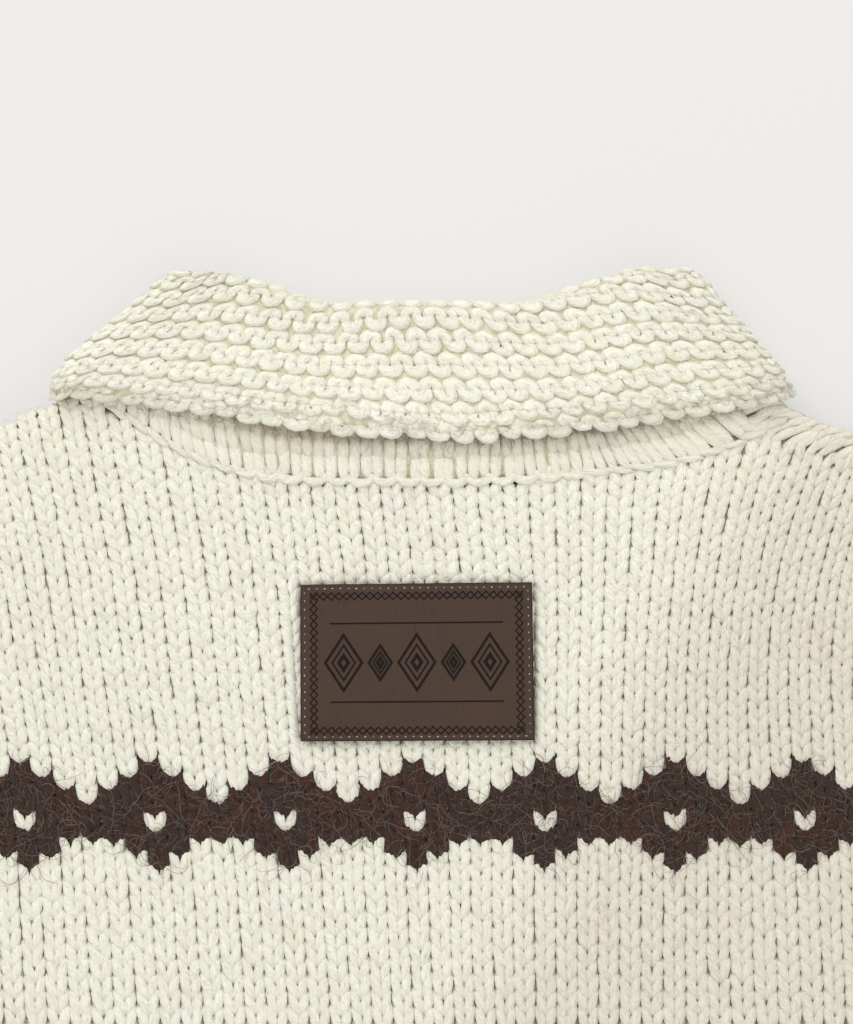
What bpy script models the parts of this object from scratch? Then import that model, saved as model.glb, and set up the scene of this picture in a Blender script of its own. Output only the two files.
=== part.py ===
"""A chunky alpaca pullover laid face down on a flat surface, with its back up.

The body is a back and a front panel that lie on each other, with flattened sleeves, ribbed hem and
cuffs, a folded-over collar and a leather patch. X runs across the back, Y runs up towards the neck.
Plan sizes are measured from the lowest point of the back neckline, and the whole garment is then
moved so that the middle of its box stands on the origin.
"""

import math

import bmesh
import bpy
from mathutils import Vector

MM = 0.001

# Cloth
WALL = 4.6 * MM  # knitted fabric of the body and sleeves
LEAF_WALL = 5.0 * MM  # garter stitch of the collar's leaf
SEAM_GAP = 0.3 * MM  # between pieces that are sewn together
INSIDE_GAP = 0.6 * MM  # air between two layers of the flattened garment
LIP = 0.8 * MM  # height of a sewn edge below its rounding
ROUND = 7.0 * MM  # how far in from a folded or sewn edge the cloth rounds over
ROUND_STEPS = (0, 30, 60)  # degrees of the quarter round that have a line of points

# Body
BODY_HALF = 262 * MM  # half the width across the chest and the dropped shoulders
HEM_HALF = 250 * MM
HEM_DRAW_IN = 60 * MM  # length over which the body draws in to the ribbed hem
SHOULDER_SLOPE = math.tan(math.radians(15.8))
NECK_LEFT = 98 * MM  # from the centre to the neck point on each side
NECK_RIGHT = 107 * MM
NECK_POINT_LEFT = 28.5 * MM  # height of the neck points above the back neckline's lowest point
NECK_POINT_RIGHT = 24.6 * MM
NECK_POWER = 2.85  # how square the back neckline is
FRONT_DROP = 72 * MM  # front neckline below the neck points
FRONT_POWER = 2.4
NECK_LINES = 13  # lines of points across the neckline, shared by the panels and the collar
SHOULDER_LINES = 7
ARMPIT_Y = -245 * MM
HEM_JOIN_Y = -533 * MM
HEM_Y = -593 * MM

# Lift of the panels where the collar's front leaf lies under them
LIFT = LEAF_WALL + SEAM_GAP
LIFT_HALF_X = 118 * MM
LIFT_HALF_Y = 66 * MM
LIFT_CENTRE_Y = 8 * MM
LIFT_REACH = 1.1  # the slope outside, as a share of those half sizes

# Sleeves
SLEEVE_ANGLE = math.radians(42)  # below the X axis
UNDERARM = 342 * MM  # length of the underarm seam down to the cuff
SLEEVE_END_HALF = 55 * MM
CUFF_LENGTH = 60 * MM
CUFF_HALF = 46 * MM
CUFF_DRAW_IN = 5 * MM  # how much the sleeve's half width draws in at the cuff
UNDERARM_HOLLOW = 9 * MM  # how far the underarm edge bows in

# Collar, in plan
PEAK_LEFT = 72 * MM  # from the centre to where the fold turns round the side of the neck
PEAK_RIGHT = 77 * MM
FOLD_MID_Y = 52.2 * MM
PEAK_LEFT_Y = 62 * MM
PEAK_RIGHT_Y = 63.4 * MM
FOLD_FLAT = 0.36  # middle share of the fold that runs straight
FOLD_RISEN = 0.95  # share at which it reaches its full height
EDGE_LEFT = 103.5 * MM  # the leaf's free edge
EDGE_RIGHT = 107.5 * MM
EDGE_MID_X = 12 * MM  # the edge hangs lowest a little to the right
EDGE_MID_Y = 15.4 * MM
EDGE_LEFT_Y = 30.2 * MM
EDGE_RIGHT_Y = 27.6 * MM
EDGE_POWER = 1.6
FRONT_EDGE_POWER = 2.2
FRONT_FOLD_Y = 0.0 * MM
FRONT_EDGE_Y = -31 * MM
FRONT_FOLD_COVER = 7.6 * MM  # the front fold's thickness, on which the back of the collar lies
COLLAR_SAG = 6.5 * MM  # the back fold sinks towards the surface between the two peaks
BOW_LEFT = 7.5 * MM  # how far the leaf bows out at the sides of the neck
BOW_RIGHT = 1.5 * MM

# Leather patch
PATCH_LEFT = -37.2 * MM
PATCH_RIGHT = 35.4 * MM
PATCH_TOP = -30.9 * MM
PATCH_BOTTOM = -79.7 * MM
PATCH_WALL = 1.5 * MM
PATCH_BEVEL = 0.35 * MM
PATCH_COLUMNS = 7
PATCH_ROWS = 5

BACK_LEVEL = WALL + INSIDE_GAP  # underside of the back panel where both panels lie flat
MIDDLE = WALL + INSIDE_GAP / 2  # the plane of the side seams, and half the flattened thickness

# The largest soft folds of the upper layer, in millimetres: centre, direction, half length, half
# width and height. A sleeve's are measured along its underarm edge and across from its middle.
FOLD_COLUMNS = ("x", "y", "degrees", "length", "width", "height")
BODY_FOLDS = (
    (-196, -262, 38, 62, 15, 3.0),
    (188, -258, -35, 70, 17, 2.6),
    (-170, -318, 24, 60, 18, 2.0),
    (150, -345, -18, 75, 20, 2.2),
    (-60, -400, 4, 95, 22, 1.8),
    (85, -455, -6, 90, 20, 1.6),
    (20, -300, 82, 80, 26, 1.2),
    (-175, -455, 74, 60, 20, 1.8),
    (205, -440, -70, 65, 18, 1.7),
)
SLEEVE_FOLDS = (
    (75, -6, 78, 48, 13, 2.6),
    (128, 14, 64, 44, 12, 2.0),
    (196, -10, 96, 52, 14, 2.8),
    (232, 8, 70, 40, 12, 2.2),
    (290, -2, 84, 38, 13, 2.0),
    (330, 6, 100, 34, 11, 1.6),
)

SIDE_FADE = 50 * MM  # how far in from a side seam the folds reach their full height
END_FADE = 40 * MM
NECK_BLEND = 0.17  # share of the neck width over which a shoulder's edge becomes rounded

COLOURS = {
    "cream_knit": ((0.80, 0.77, 0.67, 1.0), 0.95),
    "cream_garter": ((0.81, 0.78, 0.68, 1.0), 0.95),
    "cream_rib": ((0.77, 0.74, 0.64, 1.0), 0.95),
    "brown_leather": ((0.085, 0.055, 0.044, 1.0), 0.62),
}


def smooth(t):
    """0 below 0, 1 above 1, and an even slope between."""
    t = min(max(t, 0.0), 1.0)
    return t * t * (3 - 2 * t)


def mix(a, b, t):
    return a + (b - a) * t


def spread(first, last, count):
    """Evenly spaced values from first to last, both included."""
    return [mix(first, last, i / (count - 1)) for i in range(count)]


def sided(left, right, share):
    return right if share > 0 else left


# --- Outlines ---------------------------------------------------------------------------------


def neck_place(x):
    """The share of the way from the centre to the neck point, and that point's distance and height."""
    half, height = (NECK_RIGHT, NECK_POINT_RIGHT) if x > 0 else (NECK_LEFT, NECK_POINT_LEFT)
    return abs(x) / half, half, height


def shoulder(x):
    _, half, height = neck_place(x)
    return height - SHOULDER_SLOPE * (abs(x) - half)


def back_top(x):
    """Upper edge of the back: the shallow neckline, then the sloped shoulders."""
    share, _, height = neck_place(x)
    return height * share**NECK_POWER if share < 1 else shoulder(x)


def front_top(x):
    share, _, height = neck_place(x)
    return height - FRONT_DROP * (1 - share**FRONT_POWER) if share < 1 else shoulder(x)


def half_width(y):
    return mix(BODY_HALF, HEM_HALF, smooth((HEM_JOIN_Y + HEM_DRAW_IN - y) / HEM_DRAW_IN))


def lift(x, y):
    """How far the panels ride up over the collar's front leaf."""
    away = math.hypot(x / LIFT_HALF_X, (y - LIFT_CENTRE_Y) / LIFT_HALF_Y)
    return LIFT * (1 - smooth((away - 1) / LIFT_REACH))


def folds_height(table, x, y):
    """Sum of the soft ridges in a table of folds, whose sizes are millimetres."""
    total = 0.0
    for row in table:
        fold = dict(zip(FOLD_COLUMNS, row))
        turn = math.radians(fold["degrees"])
        dx = x / MM - fold["x"]
        dy = y / MM - fold["y"]
        along = (dx * math.cos(turn) + dy * math.sin(turn)) / fold["length"]
        across = (dy * math.cos(turn) - dx * math.sin(turn)) / fold["width"]
        total += fold["height"] * MM * math.exp(-along * along - across * across)
    return total


# --- Meshes -----------------------------------------------------------------------------------


def clear_scene():
    for obj in list(bpy.data.objects):
        bpy.data.objects.remove(obj, do_unlink=True)


def material(name):
    found = bpy.data.materials.get(name)
    if found:
        return found
    colour, roughness = COLOURS[name]
    made = bpy.data.materials.new(name)
    made.use_nodes = True
    shader = made.node_tree.nodes["Principled BSDF"]
    shader.inputs["Base Color"].default_value = colour
    shader.inputs["Roughness"].default_value = roughness
    shader.inputs["Metallic"].default_value = 0.0
    made.diffuse_color = colour
    return made


def solid(name, mesh_parts, finish):
    """An object from a bmesh, with its faces turned out."""
    bmesh.ops.recalc_face_normals(mesh_parts, faces=mesh_parts.faces)
    mesh = bpy.data.meshes.new(name)
    mesh_parts.to_mesh(mesh)
    mesh_parts.free()
    mesh.materials.append(material(finish))
    mesh.shade_smooth()
    mesh.set_sharp_from_angle(angle=math.radians(50))
    obj = bpy.data.objects.new(name, mesh)
    bpy.context.scene.collection.objects.link(obj)
    return obj


def skin(parts, grid, closed=False):
    """Faces over a grid of vertices. A closed grid joins its last line to its first."""
    following = grid[1:] + grid[:1] if closed else grid[1:]
    for line, after in zip(grid, following):
        for a, b, c, d in zip(line, line[1:], after[1:], after):
            parts.faces.new((a, b, c, d))


def sheet_between(parts, upper, lower):
    """A closed wall between two grids of points of the same size."""
    top = [[parts.verts.new(p) for p in line] for line in upper]
    under = [[parts.verts.new(p) for p in line] for line in lower]
    skin(parts, top)
    skin(parts, under)
    for edge in (0, -1):
        skin(parts, [top[edge], under[edge]])
        skin(parts, [[line[edge] for line in top], [line[edge] for line in under]])


# --- Panels -----------------------------------------------------------------------------------


def round_offsets():
    """(distance in from the edge, share of full height) at each line of a rounded edge."""
    turns = [math.radians(step) for step in ROUND_STEPS]
    return [(ROUND * (1 - math.cos(turn)), math.sin(turn)) for turn in turns]


def edge_share(inset, rounded):
    """Share of the full height at a distance in from an edge, where rounded runs from 0 to 1."""
    if inset >= ROUND:
        return 1.0
    rise = math.sqrt(max(0.0, 1 - (1 - inset / ROUND) ** 2))
    return mix(1.0, rise, rounded)


def panel_columns():
    """Places across a body panel as shares of its half width, with the neckline's lines among them."""
    rim = [1 - inset / BODY_HALF for inset, _ in round_offsets()]
    inner = 1 - ROUND / BODY_HALF
    neck = [share * sided(NECK_LEFT, NECK_RIGHT, share) / BODY_HALF for share in spread(-1, 1, NECK_LINES)]
    left = spread(-inner, neck[0], SHOULDER_LINES)
    right = spread(neck[-1], inner, SHOULDER_LINES)
    return [-share for share in rim] + left + neck[1:-1] + right + rim[::-1]


def panel(name, finish, columns, top_edge, bottom, width_at, heights, face_up, folds=()):
    """One body panel. heights gives how far down from the top edge each line of points lies."""
    upper, lower = [], []
    for share in columns:
        top = top_edge(share * width_at(0))
        line_up, line_down = [], []
        for depth in heights(top, bottom):
            y = top - depth
            x = share * width_at(y)
            across = (1 - abs(share)) * width_at(y)
            side = edge_share(across, 1 - smooth((y - ARMPIT_Y) / ROUND + 0.5))
            on_shoulder = smooth((neck_place(share * width_at(0))[0] - 1) / NECK_BLEND)
            crown = edge_share(depth, on_shoulder)
            height = LIP + (WALL - LIP) * min(side, crown)
            if face_up:
                fade = smooth(across / SIDE_FADE) * smooth((y - bottom) / END_FADE)
                base = BACK_LEVEL + lift(x, y) + fade * folds_height(folds, x, y)
                line_up.append(Vector((x, y, base + height)))
                line_down.append(Vector((x, y, base)))
            else:
                base = WALL + lift(x, y)
                line_up.append(Vector((x, y, base)))
                line_down.append(Vector((x, y, base - height)))
        upper.append(line_up)
        lower.append(line_down)
    parts = bmesh.new()
    sheet_between(parts, upper, lower)
    return solid(name, parts, finish)


def body_heights(near_count, far_count):
    """Depths below the top edge: the rounded edge, close lines over the lift, then wide ones."""

    def depths(top, bottom):
        rim = [inset for inset, _ in round_offsets()]
        near_end = 0.26 * (top - bottom)
        near = spread(ROUND, near_end, near_count)
        far = spread(near_end, top - bottom, far_count)
        return rim + near + far[1:]

    return depths


def body_panels():
    panel(
        "back_panel",
        "cream_knit",
        panel_columns(),
        back_top,
        HEM_JOIN_Y,
        half_width,
        body_heights(9, 10),
        True,
        BODY_FOLDS,
    )
    panel(
        "front_panel",
        "cream_knit",
        panel_columns(),
        front_top,
        HEM_JOIN_Y,
        half_width,
        body_heights(8, 5),
        False,
    )


def hem_ribs():
    """The ribbed hem, one piece below each panel, a little narrower than the body."""
    half = HEM_HALF - 3 * MM
    rim = [1 - inset / half for inset, _ in round_offsets()]
    columns = [-share for share in rim] + spread(ROUND / half - 1, 1 - ROUND / half, 7) + rim[::-1]
    top = HEM_JOIN_Y - SEAM_GAP

    def lines(start, end):
        return spread(0, start - end, 3)

    for name, face_up in (("hem_rib_back", True), ("hem_rib_front", False)):
        panel(name, "cream_rib", columns, lambda x: top, HEM_Y, lambda y: half, lines, face_up)


# --- Sleeves and cuffs ------------------------------------------------------------------------


def tube_ring(flat_count):
    """Places round a flattened tube: (flat share or None, turn in degrees), upper layer first."""
    flat = spread(-1, 1, flat_count)
    upper = [(share, 90) for share in flat]
    lower = [(share, -90) for share in flat[::-1]]
    front_edge = [(1, turn) for turn in (60, 30, 0, -30, -60)]
    rear_edge = [(-1, turn) for turn in (-60, -30, 0, 30, 60)]
    return upper + front_edge + lower + rear_edge


def flat_tube(name, finish, near, far, lengths, ring, side, bow=0.0, draw_in=0.0, folds=()):
    """A flattened tube from the line near to the line far, each a pair of plan points.

    The first of each pair is on the underarm edge. bow curves that edge in, and draw_in narrows
    the tube over its last tenth.
    """
    outer, inner = [], []
    for share in lengths:
        low = near[0].lerp(far[0], share)
        high = near[1].lerp(far[1], share)
        across = (high - low).normalized()
        low = low + across * bow * math.sin(math.pi * share)
        narrow = draw_in * smooth((share - 0.9) / 0.1)
        half = (high - low).length / 2 - narrow
        centre = (high + low) / 2
        line_out, line_in = [], []
        for place, degrees in ring:
            turn = math.radians(degrees)
            reach = (half - ROUND) * place + math.copysign(ROUND * math.cos(turn), place)
            spot = centre + across * reach
            swell = 0.0
            if degrees == 90:
                fade = smooth((1 - abs(place)) * 3) * smooth(share * 6) * smooth((1 - share) * 6)
                along = (spot - (near[0] + near[1]) / 2).dot((far[0] - near[0]).normalized())
                swell = fade * folds_height(folds, along, reach)
            z = MIDDLE + MIDDLE * math.sin(turn) + swell
            line_out.append(Vector((side * spot.x, spot.y, z)))
            hollow = reach * (half - WALL) / half
            z = MIDDLE + INSIDE_GAP / 2 * math.sin(turn) + swell
            spot = centre + across * hollow
            line_in.append(Vector((side * spot.x, spot.y, z)))
        outer.append(line_out)
        inner.append(line_in)
    parts = bmesh.new()
    outer = [[parts.verts.new(p) for p in line] for line in outer]
    inner = [[parts.verts.new(p) for p in line] for line in inner]
    for grid in (outer, inner):
        skin(parts, [line + line[:1] for line in grid])
    for end in (0, -1):
        skin(parts, [outer[end] + outer[end][:1], inner[end] + inner[end][:1]])
    return solid(name, parts, finish)


def sleeves():
    """Both sleeves with their cuffs. Each starts on the straight armhole line of the body."""
    edge = BODY_HALF + SEAM_GAP
    along = Vector((math.cos(SLEEVE_ANGLE), -math.sin(SLEEVE_ANGLE)))
    across = Vector((math.sin(SLEEVE_ANGLE), math.cos(SLEEVE_ANGLE)))
    for name, side in (("left", -1), ("right", 1)):
        armpit = Vector((edge, ARMPIT_Y))
        tip = Vector((edge, shoulder(side * BODY_HALF)))
        middle = (armpit + tip) / 2
        reach = (armpit - middle).dot(along) + UNDERARM
        wrist = middle + along * reach
        near = (armpit, tip)
        far = (wrist - across * SLEEVE_END_HALF, wrist + across * SLEEVE_END_HALF)
        flat_tube(
            "sleeve_" + name,
            "cream_knit",
            near,
            far,
            spread(0, 0.9, 12) + [0.95, 1.0],
            tube_ring(6),
            side,
            bow=UNDERARM_HOLLOW,
            draw_in=CUFF_DRAW_IN,
            folds=SLEEVE_FOLDS,
        )
        start = wrist + along * SEAM_GAP
        end = start + along * CUFF_LENGTH
        flat_tube(
            "cuff_" + name,
            "cream_rib",
            (start - across * CUFF_HALF, start + across * CUFF_HALF),
            (end - across * CUFF_HALF, end + across * CUFF_HALF),
            spread(0, 1, 3),
            tube_ring(5),
            side,
        )


# --- Collar -----------------------------------------------------------------------------------


def fold_line(share, back):
    """Where the collar folds over, in plan, from the left peak (-1) to the right one (1)."""
    x = share * sided(PEAK_LEFT, PEAK_RIGHT, share)
    peak = sided(PEAK_LEFT_Y, PEAK_RIGHT_Y, share)
    if back:
        rise = smooth((abs(share) - FOLD_FLAT) / (FOLD_RISEN - FOLD_FLAT))
        return Vector((x, mix(FOLD_MID_Y, peak, rise)))
    return Vector((x, mix(FRONT_FOLD_Y, peak, abs(share) ** 2)))


def leaf_edge(share, back):
    """The collar's free edge in plan."""
    x = share * sided(EDGE_LEFT, EDGE_RIGHT, share) + EDGE_MID_X * (1 - abs(share))
    lowest = EDGE_MID_Y if back else FRONT_EDGE_Y
    power = EDGE_POWER if back else FRONT_EDGE_POWER
    return Vector((x, mix(lowest, sided(EDGE_LEFT_Y, EDGE_RIGHT_Y, share), abs(share) ** power)))


def neck_line(share, back):
    """Where the stand is sewn to the panels, just clear of the neckline."""
    x = share * sided(NECK_LEFT, NECK_RIGHT, share)
    return Vector((x, back_top(x) + 1.5 * SEAM_GAP if back else front_top(x) + 3 * SEAM_GAP))


def collar_stations():
    """(plan share, whether at the back, turn in degrees) round the neck."""
    back = [(share, True, 90) for share in spread(-1, 1, NECK_LINES)]
    right = [(1, True, turn) for turn in (60, 30, 0, -30, -60)]
    front = [(share, False, -90) for share in spread(1, -1, NECK_LINES)]
    left = [(-1, True, turn) for turn in (-60, -30, 0, 30, 60)]
    return back + right + front + left


def collar_section(share, back, degrees):
    """Closed outline of the folded band at one station: up the stand, over the fold, down the leaf."""
    turn = math.radians(degrees)
    side = math.copysign(1, share)
    fold, edge, neck = fold_line(share, back), leaf_edge(share, back), neck_line(share, back)
    centre = LIFT + MIDDLE
    rise = math.sin(turn)
    bulge = max(0.0, math.cos(turn)) if abs(degrees) < 90 else 0.0
    out_fold = Vector((side * 0.90, 0.44))
    out_edge = Vector((side * 0.975, -0.22))
    out_neck = Vector((side * 0.80, 0.60))

    def spot(plan, out, radius):
        """A point at a radius from the middle of the flattened ring."""
        place = plan + out * (radius * bulge)
        z = centre + radius * rise
        if back and degrees == 90:
            low = fold_line(share, False).y + FRONT_FOLD_COVER
            high = fold_line(share, True).y
            sink = smooth((plan.y - low) / (high - low)) if high > low else 0.0
            z -= COLLAR_SAG * (1 - abs(share) ** 3) * sink
        return Vector((place.x, place.y, z))

    def run(start, stop, out_start, out_stop, radius, shares, bow=0.0):
        points = []
        for t in shares:
            plan = start.lerp(stop, t)
            out = out_start.lerp(out_stop, t).normalized()
            swell = bow * bulge * math.sin(math.pi * t)
            point = spot(plan, out, radius)
            points.append(point + Vector((out.x, out.y, 0)) * swell)
        return points

    inner_stand = INSIDE_GAP / 2
    outer_stand = inner_stand + WALL
    inner_leaf = outer_stand + SEAM_GAP
    outer_leaf = inner_leaf + LEAF_WALL
    hinge = (outer_leaf + inner_stand) / 2
    back_off = (fold - edge.lerp(neck, 0.5)).normalized()
    shares = (0.0, 0.33, 0.67, 1.0)
    outline = run(neck, fold, out_neck, out_fold, inner_stand, shares)
    for step in (45, 90, 135):
        angle = math.radians(step)
        radius = hinge - (hinge - inner_stand) * math.cos(angle)
        reach = (hinge - inner_stand) * math.sin(angle)
        outline.append(spot(fold + back_off * reach, out_fold, radius))
    bow = sided(BOW_LEFT, BOW_RIGHT, share)
    outline += run(fold, edge, out_fold, out_edge, outer_leaf, shares, bow)
    tip = (edge - fold).normalized()
    mid_leaf = (outer_leaf + inner_leaf) / 2
    for step in (45, -45):
        angle = math.radians(step)
        radius = mid_leaf + LEAF_WALL / 2 * math.sin(angle)
        outline.append(spot(edge + tip * (LEAF_WALL / 2 * math.cos(angle)), out_edge, radius))
    outline += run(edge, fold, out_edge, out_fold, inner_leaf, shares, bow)
    outline += run(fold, neck, out_fold, out_neck, outer_stand, shares)
    return outline


def collar():
    sections = [collar_section(*station) for station in collar_stations()]
    parts = bmesh.new()
    grid = [[parts.verts.new(p) for p in line] for line in sections]
    skin(parts, [line + line[:1] for line in grid], closed=True)
    return solid("collar", parts, "cream_garter")


# --- Patch ------------------------------------------------------------------------------------


def leather_patch():
    """A sheet of leather on the back panel, made from that panel's own surface, moved out."""
    parts = bmesh.new()
    grid = []
    for x in spread(PATCH_LEFT, PATCH_RIGHT, PATCH_COLUMNS):
        line = []
        for y in spread(PATCH_BOTTOM, PATCH_TOP, PATCH_ROWS):
            surface = BACK_LEVEL + WALL + lift(x, y) + folds_height(BODY_FOLDS, x, y)
            line.append(parts.verts.new((x, y, surface + 1.5 * SEAM_GAP)))
        grid.append(line)
    skin(parts, grid)
    patch = solid("leather_patch", parts, "brown_leather")
    thicken = patch.modifiers.new("Thickness", "SOLIDIFY")
    thicken.thickness = PATCH_WALL
    thicken.offset = 1.0
    soften = patch.modifiers.new("Worn edge", "BEVEL")
    soften.width = PATCH_BEVEL
    soften.segments = 1
    soften.limit_method = "ANGLE"
    soften.angle_limit = math.radians(50)
    return patch


def stand_on_origin():
    """Moves every piece so that the middle of the whole box, at its lowest height, is the origin."""
    corners = [v.co for obj in bpy.data.objects for v in obj.data.vertices]
    low = Vector([min(co[axis] for co in corners) for axis in range(3)])
    high = Vector([max(co[axis] for co in corners) for axis in range(3)])
    shift = Vector(((low.x + high.x) / 2, (low.y + high.y) / 2, low.z))
    for obj in bpy.data.objects:
        for vertex in obj.data.vertices:
            vertex.co -= shift


def main():
    clear_scene()
    body_panels()
    hem_ribs()
    sleeves()
    collar()
    leather_patch()
    stand_on_origin()


main()
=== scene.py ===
"""A chunky alpaca pullover laid face down: yarn, seams, collar, band, patch and the stage.

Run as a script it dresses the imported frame. Sizes inside the functions are millimetres, in a plan
whose origin is the lowest point of the back neckline, X to the right and Y towards the collar.
"""

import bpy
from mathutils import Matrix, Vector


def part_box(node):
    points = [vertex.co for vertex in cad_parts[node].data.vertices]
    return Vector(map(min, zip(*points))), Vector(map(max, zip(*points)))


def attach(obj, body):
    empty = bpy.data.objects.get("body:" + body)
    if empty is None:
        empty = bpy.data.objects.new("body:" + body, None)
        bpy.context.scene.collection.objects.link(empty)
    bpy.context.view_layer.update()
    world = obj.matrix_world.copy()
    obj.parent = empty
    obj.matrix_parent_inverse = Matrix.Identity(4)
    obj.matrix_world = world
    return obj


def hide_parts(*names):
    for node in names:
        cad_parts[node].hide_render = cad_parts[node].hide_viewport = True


bl_info = {
    "name": "Alpaca pullover",
    "version": (1, 0, 0),
    "blender": (4, 5, 0),
    "location": "View3D > Sidebar > Pullover",
    "description": "Knits the cloth, collar, band and patch of a chunky pullover laid flat",
    "category": "Object",
}

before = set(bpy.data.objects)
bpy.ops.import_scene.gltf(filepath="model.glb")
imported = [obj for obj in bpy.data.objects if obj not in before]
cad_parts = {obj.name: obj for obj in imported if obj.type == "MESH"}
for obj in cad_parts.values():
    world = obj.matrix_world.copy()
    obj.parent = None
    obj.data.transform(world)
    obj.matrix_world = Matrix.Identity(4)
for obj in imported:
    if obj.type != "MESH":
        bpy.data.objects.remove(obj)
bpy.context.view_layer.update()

import math

import bpy
import numpy as np
from bpy.props import FloatProperty, FloatVectorProperty, IntProperty, PointerProperty
from mathutils import Vector
from mathutils.bvhtree import BVHTree

MM = 0.001

# --- The cut, as the solids have it -----------------------------------------------------------

ROUND = 7.0  # how far in from a folded edge the cloth rolls over
MIDDLE = 4.9  # half the flattened thickness
LIFT = 5.3  # how far both panels ride up over the collar's front leaf
QUARTER = math.pi / 2 * math.sqrt((ROUND**2 + MIDDLE**2) / 2)  # cloth in a quarter of that roll
SPILL = QUARTER - ROUND  # so much more cloth than plan is there at an edge
BODY_HALF = 262.0
HEM_HALF = 250.0
RIB_HALF = 247.0
HEM_DRAW_IN = 60.0
SHOULDER_SLOPE = math.tan(math.radians(15.8))
NECK_HALF = (98.0, 107.0)  # left, right
NECK_POINT = (28.5, 24.6)
NECK_POWER = 2.85
FRONT_DROP = 72.0
FRONT_POWER = 2.4
NECK_BLEND = 0.17
ARMPIT_Y = -245.0
HEM_JOIN_Y = -533.0
HEM_Y = -593.0
SLEEVE_ANGLE = math.radians(42)
UNDERARM = 342.0
SLEEVE_END_HALF = 55.0
WRIST_HALF = 50.0  # drawn in to this where the cuff starts
UNDERARM_HOLLOW = 9.0
CUFF_LENGTH = 60.0
CUFF_HALF = 46.0
PEAK = (72.0, 78.5)  # the collar's fold where it turns round the side of the neck
PEAK_Y = (62.4, 63.2)
FOLD_MID_Y = 52.2
FOLD_FLAT = 0.36
FOLD_RISEN = 0.95
EDGE = (105.0, 108.0)  # the leaf's free edge
EDGE_Y = (30.2, 27.6)
EDGE_MID_X = 12.0
EDGE_MID_Y = 15.4
EDGE_POWER = 1.6
FRONT_EDGE_POWER = 2.2
FRONT_FOLD_Y = 0.0
FRONT_EDGE_Y = -31.0
FRONT_FOLD_COVER = 7.6
COLLAR_SAG = 6.5
COLLAR_BOW = (6.5, 3.2)
OUT_FOLD = (0.96, 0.14)
OUT_EDGE = (0.975, -0.22)
OUT_NECK = (0.80, 0.60)
STAND_IN = 0.3  # distances from the middle of the flattened collar
LEAF_IN, LEAF_OUT = 5.2, 10.2
HINGE = (LEAF_OUT + STAND_IN) / 2  # the fold turns about a line this far out
FOLD_ARC = 40.0  # over the fold, a share of 1 is an arc this long
SIDE_TURN = 0.3  # what each side of the neck counts for, where the back counts for 2

# The plan's origin in the frame: the middle of the back panel, one neck point below its top.
_low, _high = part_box("back_panel")
ORIGIN_X = (_low[0] + _high[0]) / 2 / MM
ORIGIN_Y = _high[1] / MM - NECK_POINT[0]

# --- The knitting -----------------------------------------------------------------------------

BAND_Y = -122.4  # bottoms of the band's lowest stitches
BAND_COURSE = 4.3
BAND_TALL = 9  # rows that keep that height
BAND_SHIFT = -1.6  # a middle wale of a diamond lies this far from the centre
BAND_ROWS = (  # one repeat, top row first: B is brown, and the third column is a diamond's middle
    "..B...",
    ".BBB..",
    "BBBBB.",
    "BBBBBB",
    "BB.BBB",
    "BBBBBB",
    ".BBB..",
    "..B...",
)
BAND_MIDDLE = -105.0
LEAN_X = (-119, -87, -56, -25, 6, 37, 69, 100, 116)
LEAN_Y = (-176, -150, -130, -100, -67, -45, -15, 0, 30)
LEANS = (  # degrees to the right as a column rises: a row for each height, a value for each place
    (-3.0, -4.3, -3.8, -3.6, -2.5, -1.0, 0.0, -2.0, -2.5),
    (-3.0, -4.3, -3.8, -3.6, -3.0, -1.0, 0.0, -2.0, -2.5),
    (-2.5, -4.0, -4.5, -3.6, -1.8, 0.0, 1.0, 0.0, -2.5),
    (-5.0, -6.0, -5.0, -3.5, -2.0, 0.0, 0.5, -1.0, -3.0),
    (-7.8, -9.0, -5.5, -4.0, -2.5, 0.0, 1.5, -1.5, -3.2),
    (-8.5, -6.5, -4.5, -4.0, -3.0, 0.5, 3.8, 4.8, 5.0),
    (-11.5, -10.0, -9.5, -7.0, -7.3, -4.0, 4.5, 13.5, 16.0),
    (-11.5, -10.5, -9.5, -6.5, -7.0, -3.0, 6.0, 18.0, 21.0),
    (-11.5, -10.5, -9.5, -6.5, -7.0, -3.0, 6.0, 23.0, 23.0),
)
LEAN_HALF = 152  # the leans are summed this far to each side
LEAN_ACROSS, LEAN_UP = 8.0, 2.0  # in steps of this size
LEAN_START = 60  # and build up over this height below the first row
VIEW_HALF = 138.0  # the yoke is knitted finest this far to each side
VIEW_LOW = -176.0  # and down to here
BASE_SINK = 2.0  # the backing lies this far below the cloth's face
BASE_WALL = 2.3  # and is this thick
LOWEST = 0.04  # nothing comes closer to the floor than this

# The neck seam's chain across the back, in plan, from the left neck point to the right one.
CHAIN_X = (-97.5, -86.3, -74.4, -62.5, -50, -30, 0, 25, 44, 62, 75.8, 88, 99, 107.8, 114)
CHAIN_Y = (25.0, 17.8, 10.2, 5.6, 3.0, 1.6, 1.2, 1.8, 3.0, 4.8, 6.2, 9.2, 13.2, 17.2, 22.4)
CHAIN_LINK = 7.35  # from one link to the next
SEAM_DROP = 10.4  # the right shoulder seam lies this far down the back
SEAM_FROM = 95.0  # and starts this far out
PATCH = (-37.2, 35.4, -79.7, -30.9)  # left, right, bottom, top
PATCH_SIZE = (PATCH[1] - PATCH[0], PATCH[3] - PATCH[2])
PATCH_WALL = 1.5  # the leather's thickness
PATCH_OFF = 0.45  # its underside lies this far above the back's face
PATCH_PRESS = 0.95  # the knitting under it is pressed down this much
THREAD_IN = 1.35  # the thread runs this far in from the cut edge
THREAD_STEP = 2.5  # from one of its stitches to the next
RIB_REPEAT = 16.6  # two knit columns and the purl ones between them
RIB_OFF, RIB_WIDE, PURL_WIDE = 0.19, 0.385, 0.46  # their places and widths as shares of that
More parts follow.
